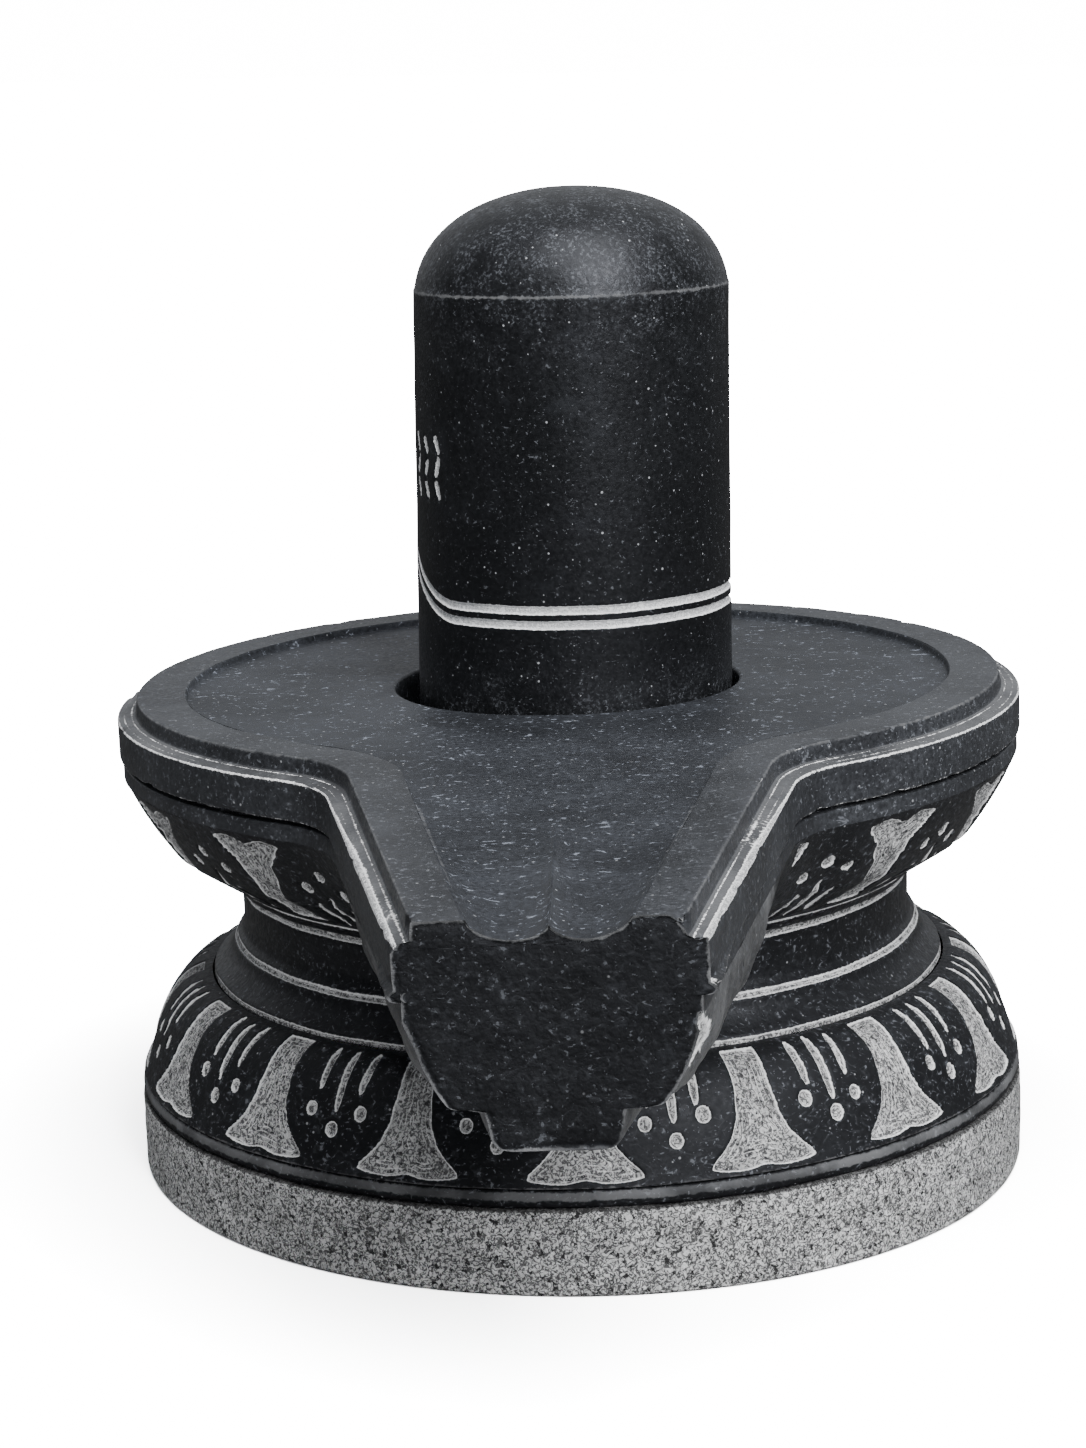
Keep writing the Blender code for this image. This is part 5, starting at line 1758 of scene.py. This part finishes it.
@dataclass
class Studio:
    """The floor, the lights and the camera at the photograph's angle."""

    aim: tuple[float, float, float] = (-0.01152, -0.00029, 0.14553)
    distance: float = 1.08137
    azimuth: float = -1.4261
    elevation: float = 11.8313
    roll: float = -0.9463
    lens: float = 79.56
    floor_radius: float = 60.0
    floor_seen: float = 9.0
    floor_tone: float = 0.42
    floor_mirrored: float = 0.13
    haze_reach: tuple[float, float] = (0.14, 0.33)
    sky_seen: float = 16.0
    sky_even: float = 0.34
    sky_mirrored: tuple[float, float, float] = (0.03, 0.22, 0.52)
    sky_tint: Colour = (0.94, 0.965, 1.0, 1.0)
    lit_height: float = 0.12
    lights: tuple[Softbox, ...] = (
        Softbox("overhead", (0.25, -0.72, 1.70), (1.4, 1.4), 36.0),
        Softbox("front", (0.80, -1.70, 1.30), (0.9, 0.8), 46.0),
    )

    def camera(self) -> None:
        """Place the camera that the scene is seen through."""
        turn, rise = math.radians(self.azimuth), math.radians(self.elevation)
        forward = Vector((math.sin(turn) * math.cos(rise), math.cos(turn) * math.cos(rise),
                          -math.sin(rise)))
        level = forward.cross(Vector((0.0, 0.0, 1.0))).normalized()
        upright = level.cross(forward)
        tilt = math.radians(self.roll)
        right = level * math.cos(tilt) + upright * math.sin(tilt)
        up = right.cross(forward)
        lens = bpy.data.cameras.new("camera")
        lens.lens = self.lens
        lens.sensor_width = 36.0
        lens.sensor_fit = "AUTO"
        lens.clip_end = 200.0
        seen = bpy.data.objects.new("camera", lens)
        basis = Matrix((right, up, -forward)).transposed().to_4x4()
        seen.matrix_world = Matrix.Translation(Vector(self.aim) - forward * self.distance) @ basis
        bpy.context.scene.collection.objects.link(seen)
        bpy.context.scene.camera = seen

    def floor(self) -> None:
        """Lay the pale floor, bright to the camera and dimmer in reflections."""
        turns = np.linspace(0.0, math.tau, 97)[:-1]
        rim = [(self.floor_radius * math.cos(a), self.floor_radius * math.sin(a), 0.0)
               for a in turns]
        mesh = bpy.data.meshes.new("floor")
        mesh.from_pydata(rim, [], [tuple(range(len(rim)))])
        ground = bpy.data.objects.new("floor", mesh)
        bpy.context.scene.collection.objects.link(ground)
        made, wires, shader = new_material("pale_floor")
        path = wires.node("ShaderNodeLightPath")
        unseen = wires.mix(path.outputs["Is Glossy Ray"], grey(self.floor_tone, 1.0),
                           grey(self.floor_mirrored, 1.0))
        colour = wires.mix(path.outputs["Is Camera Ray"], unseen, grey(self.floor_seen, 1.0))
        wires.feed(shader.inputs["Base Color"], colour)
        shader.inputs["Roughness"].default_value = 1.0
        shader.inputs["Specular IOR Level"].default_value = 0.0
        away = wires.node("ShaderNodeVectorMath", operation="LENGTH")
        wires.feed(away.inputs[0], wires.place())
        haze = wires.step(away.outputs["Value"], *self.haze_reach)
        shader.inputs["Emission Color"].default_value = (1.0, 1.0, 1.0, 1.0)
        wires.feed(shader.inputs["Emission Strength"], wires.times(
            haze, path.outputs["Is Camera Ray"], self.sky_seen))
        mesh.materials.append(made)

    def surroundings(self) -> None:
        """Set a sky that is white to the camera and dark in front to reflections."""
        world = bpy.data.worlds.new("studio")
        world.use_nodes = True
        wires = Wiring(world.node_tree)
        sky = world.node_tree.nodes["Background"]
        parts = wires.node("ShaderNodeSeparateXYZ")
        wires.feed(parts.inputs[0], wires.node("ShaderNodeTexCoord").outputs["Generated"])
        low, overhead, behind = self.sky_mirrored
        above = wires.times(wires.step(parts.outputs[2], 0.05, 0.9), overhead)
        back = wires.times(wires.step(parts.outputs[1], 0.0, 0.9), behind)
        mirrored = wires.math("ADD", wires.math("ADD", above, back), low)
        path = wires.node("ShaderNodeLightPath")
        glossy = path.outputs["Is Glossy Ray"]
        plain = wires.times(wires.math("SUBTRACT", 1.0, glossy), self.sky_even)
        unseen = wires.math("MULTIPLY_ADD", mirrored, glossy, plain)
        camera = path.outputs["Is Camera Ray"]
        seen = wires.times(camera, self.sky_seen)
        hidden = wires.times(wires.math("SUBTRACT", 1.0, camera), unseen)
        wires.feed(sky.inputs["Color"], wires.mix(camera, self.sky_tint, grey(1.0, 1.0)))
        wires.feed(sky.inputs["Strength"], wires.math("ADD", seen, hidden))
        bpy.context.scene.world = world

    def build(self) -> None:
        """Set up the whole studio."""
        self.camera()
        self.floor()
        self.surroundings()
        for softbox in self.lights:
            softbox.hang(Vector((0.0, 0.0, self.lit_height)))


# The object


OILED = StoneFinish("oiled_stone", wear_and_highlight_amount=0.5)
RIM_STONE = StoneFinish(
    "rim_stone", dark=0.011, light=0.050, roughness=(0.38, 0.55), scratch_amount=0.45,
    wear_and_highlight_amount=0.8, wear_and_highlight_tone=0.13, wear_and_highlight_reach=0.45,
    ragged=0.28, pale_low=0.25, pale_high=0.90,
)
# Worn dish: the channels' edges are painted lighter, partly as wear and partly as a painted
# highlight.
WORN = StoneFinish(
    "worn_stone", dark=0.007, light=0.043, blue=1.30, cloud_grain=42.0, roughness=(0.45, 0.62),
    scratch_amount=0.42, scratch_tone=0.22, scratch_grain=4.2, scratch_width=0.026,
    faint_amount=0.14, smudge_amount=0.3, smudge_tone=0.045, wear_and_highlight_amount=0.6, wear_and_highlight_tone=0.16,
)
# Bell: the top of the bead is painted lighter, a painted highlight with some wear, beside a pale
# line at the bell's foot.
CARVED = StoneFinish("carved_stone", roughness=(0.50, 0.66), specular=0.26, wear_and_highlight_amount=0.5)
BROKEN = StoneFinish(
    "broken_stone", dark=0.003, light=0.011, cloud_grain=14.0, roughness=(0.62, 0.85),
    specular=0.24, wear_and_highlight_amount=0.6, wear_and_highlight_reach=0.6, bump_depth=0.20, scratch_tone=0.07,
    speck_tone=0.12,
)
# Shaft: its lighter edge is the crease, painted lighter as a highlight.
POLISHED = StoneFinish(
    "polished_stone", dark=0.004, light=0.010, cloud_grain=48.0, roughness=(0.33, 0.48),
    specular=0.32, scratch_amount=0.35, scratch_grain=2.2, scratch_tone=0.09,
    scratch_width=0.035, faint_amount=0.12, speck_amount=0.10, speck_grain=1.9,
    speck_tone=0.42, smudge_amount=0.25, wear_and_highlight_amount=0.5, wear_and_highlight_reach=0.35, wear_and_highlight_tone=0.28,
    dust=((0.262, 0.300), (0.178, 0.156)), pale_low=0.5, pale_high=0.95, pale_pits=0.05,
)

BELL_MOTIFS = Motifs(
    flare=Flare.DOWN,
    petal=((0.03, 6.9), (0.10, 6.6), (0.17, 5.1), (0.27, 3.7), (0.42, 2.8), (0.64, 2.4),
           (0.93, 2.5)),
    strokes=((-3.2, 0.53, 0.92), (0.0, 0.42, 0.92), (3.2, 0.54, 0.92)),
    dots=((-3.7, 0.43), (0.0, 0.29), (3.7, 0.43)),
    notch=0.025,
)
BOWL_MOTIFS = Motifs(
    flare=Flare.UP,
    petal=((0.04, 6.2), (0.13, 4.9), (0.26, 3.0), (0.50, 2.1), (0.76, 2.4), (0.92, 3.3)),
    strokes=((-3.2, 0.54, 0.94), (0.0, 0.42, 0.94), (3.2, 0.54, 0.94)),
    dots=((-3.5, 0.38), (0.0, 0.27), (3.5, 0.38)),
    notch=0.05,
    stroke_width=2.4,
    dot_radius=2.15,
    seed=9,
)


class Lingam:
    """The whole object: the carved block and the shaft."""

    def __init__(self) -> None:
        """Set the sizes that the pieces share."""
        self.levels = Levels()
        self.lean = Lean()
        self.wide = Keyhole()
        self.fine = Keyhole(spout_columns=105, fillet_columns=32, root_columns=10,
                            back_columns=560)

    def dress(self, piece: bpy.types.Object, finish: bpy.types.Material, node: str) -> None:
        """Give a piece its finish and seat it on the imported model.

        Args:
            piece: the piece.
            finish: its material.
            node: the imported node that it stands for.
        """
        piece.data.materials.append(finish)
        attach(piece, "root")
        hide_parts(node)

    def build(self) -> None:
        """Build and dress every piece."""
        stones = (OILED, RIM_STONE, WORN, CARVED, BROKEN, POLISHED, DressedFinish())
        oiled, rim_stone, worn, carved, broken, polished, hammered = (
            finish.material() for finish in stones)
        bowl = Bowl(self.levels, self.lean, BOWL_MOTIFS, self.fine)
        rim = Rim(self.levels, self.lean, self.wide)
        dish = Dish(self.levels, self.lean, self.wide)
        block = (
            (Plinth(self.levels, self.lean), hammered),
            (Bell(self.levels, self.lean, BELL_MOTIFS), carved),
            (Neck(self.levels, self.lean), oiled),
            (bowl, oiled),
            (rim, rim_stone),
            (dish, worn),
            (Mouth(self.lean, bowl, rim, dish), broken),
        )
        for part, finish in block:
            self.dress(part.build(), finish, "yoni_basin")
        shaft = Shaft(self.levels).build()
        self.dress(shaft, polished, "lingam")


def main() -> None:
    """Build the studio and the object."""
    logging.basicConfig(level=logging.INFO, format="%(name)s: %(message)s")
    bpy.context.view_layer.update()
    Studio().build()
    Effects().build()
    Lingam().build()


if __name__ == "__main__":
    main()
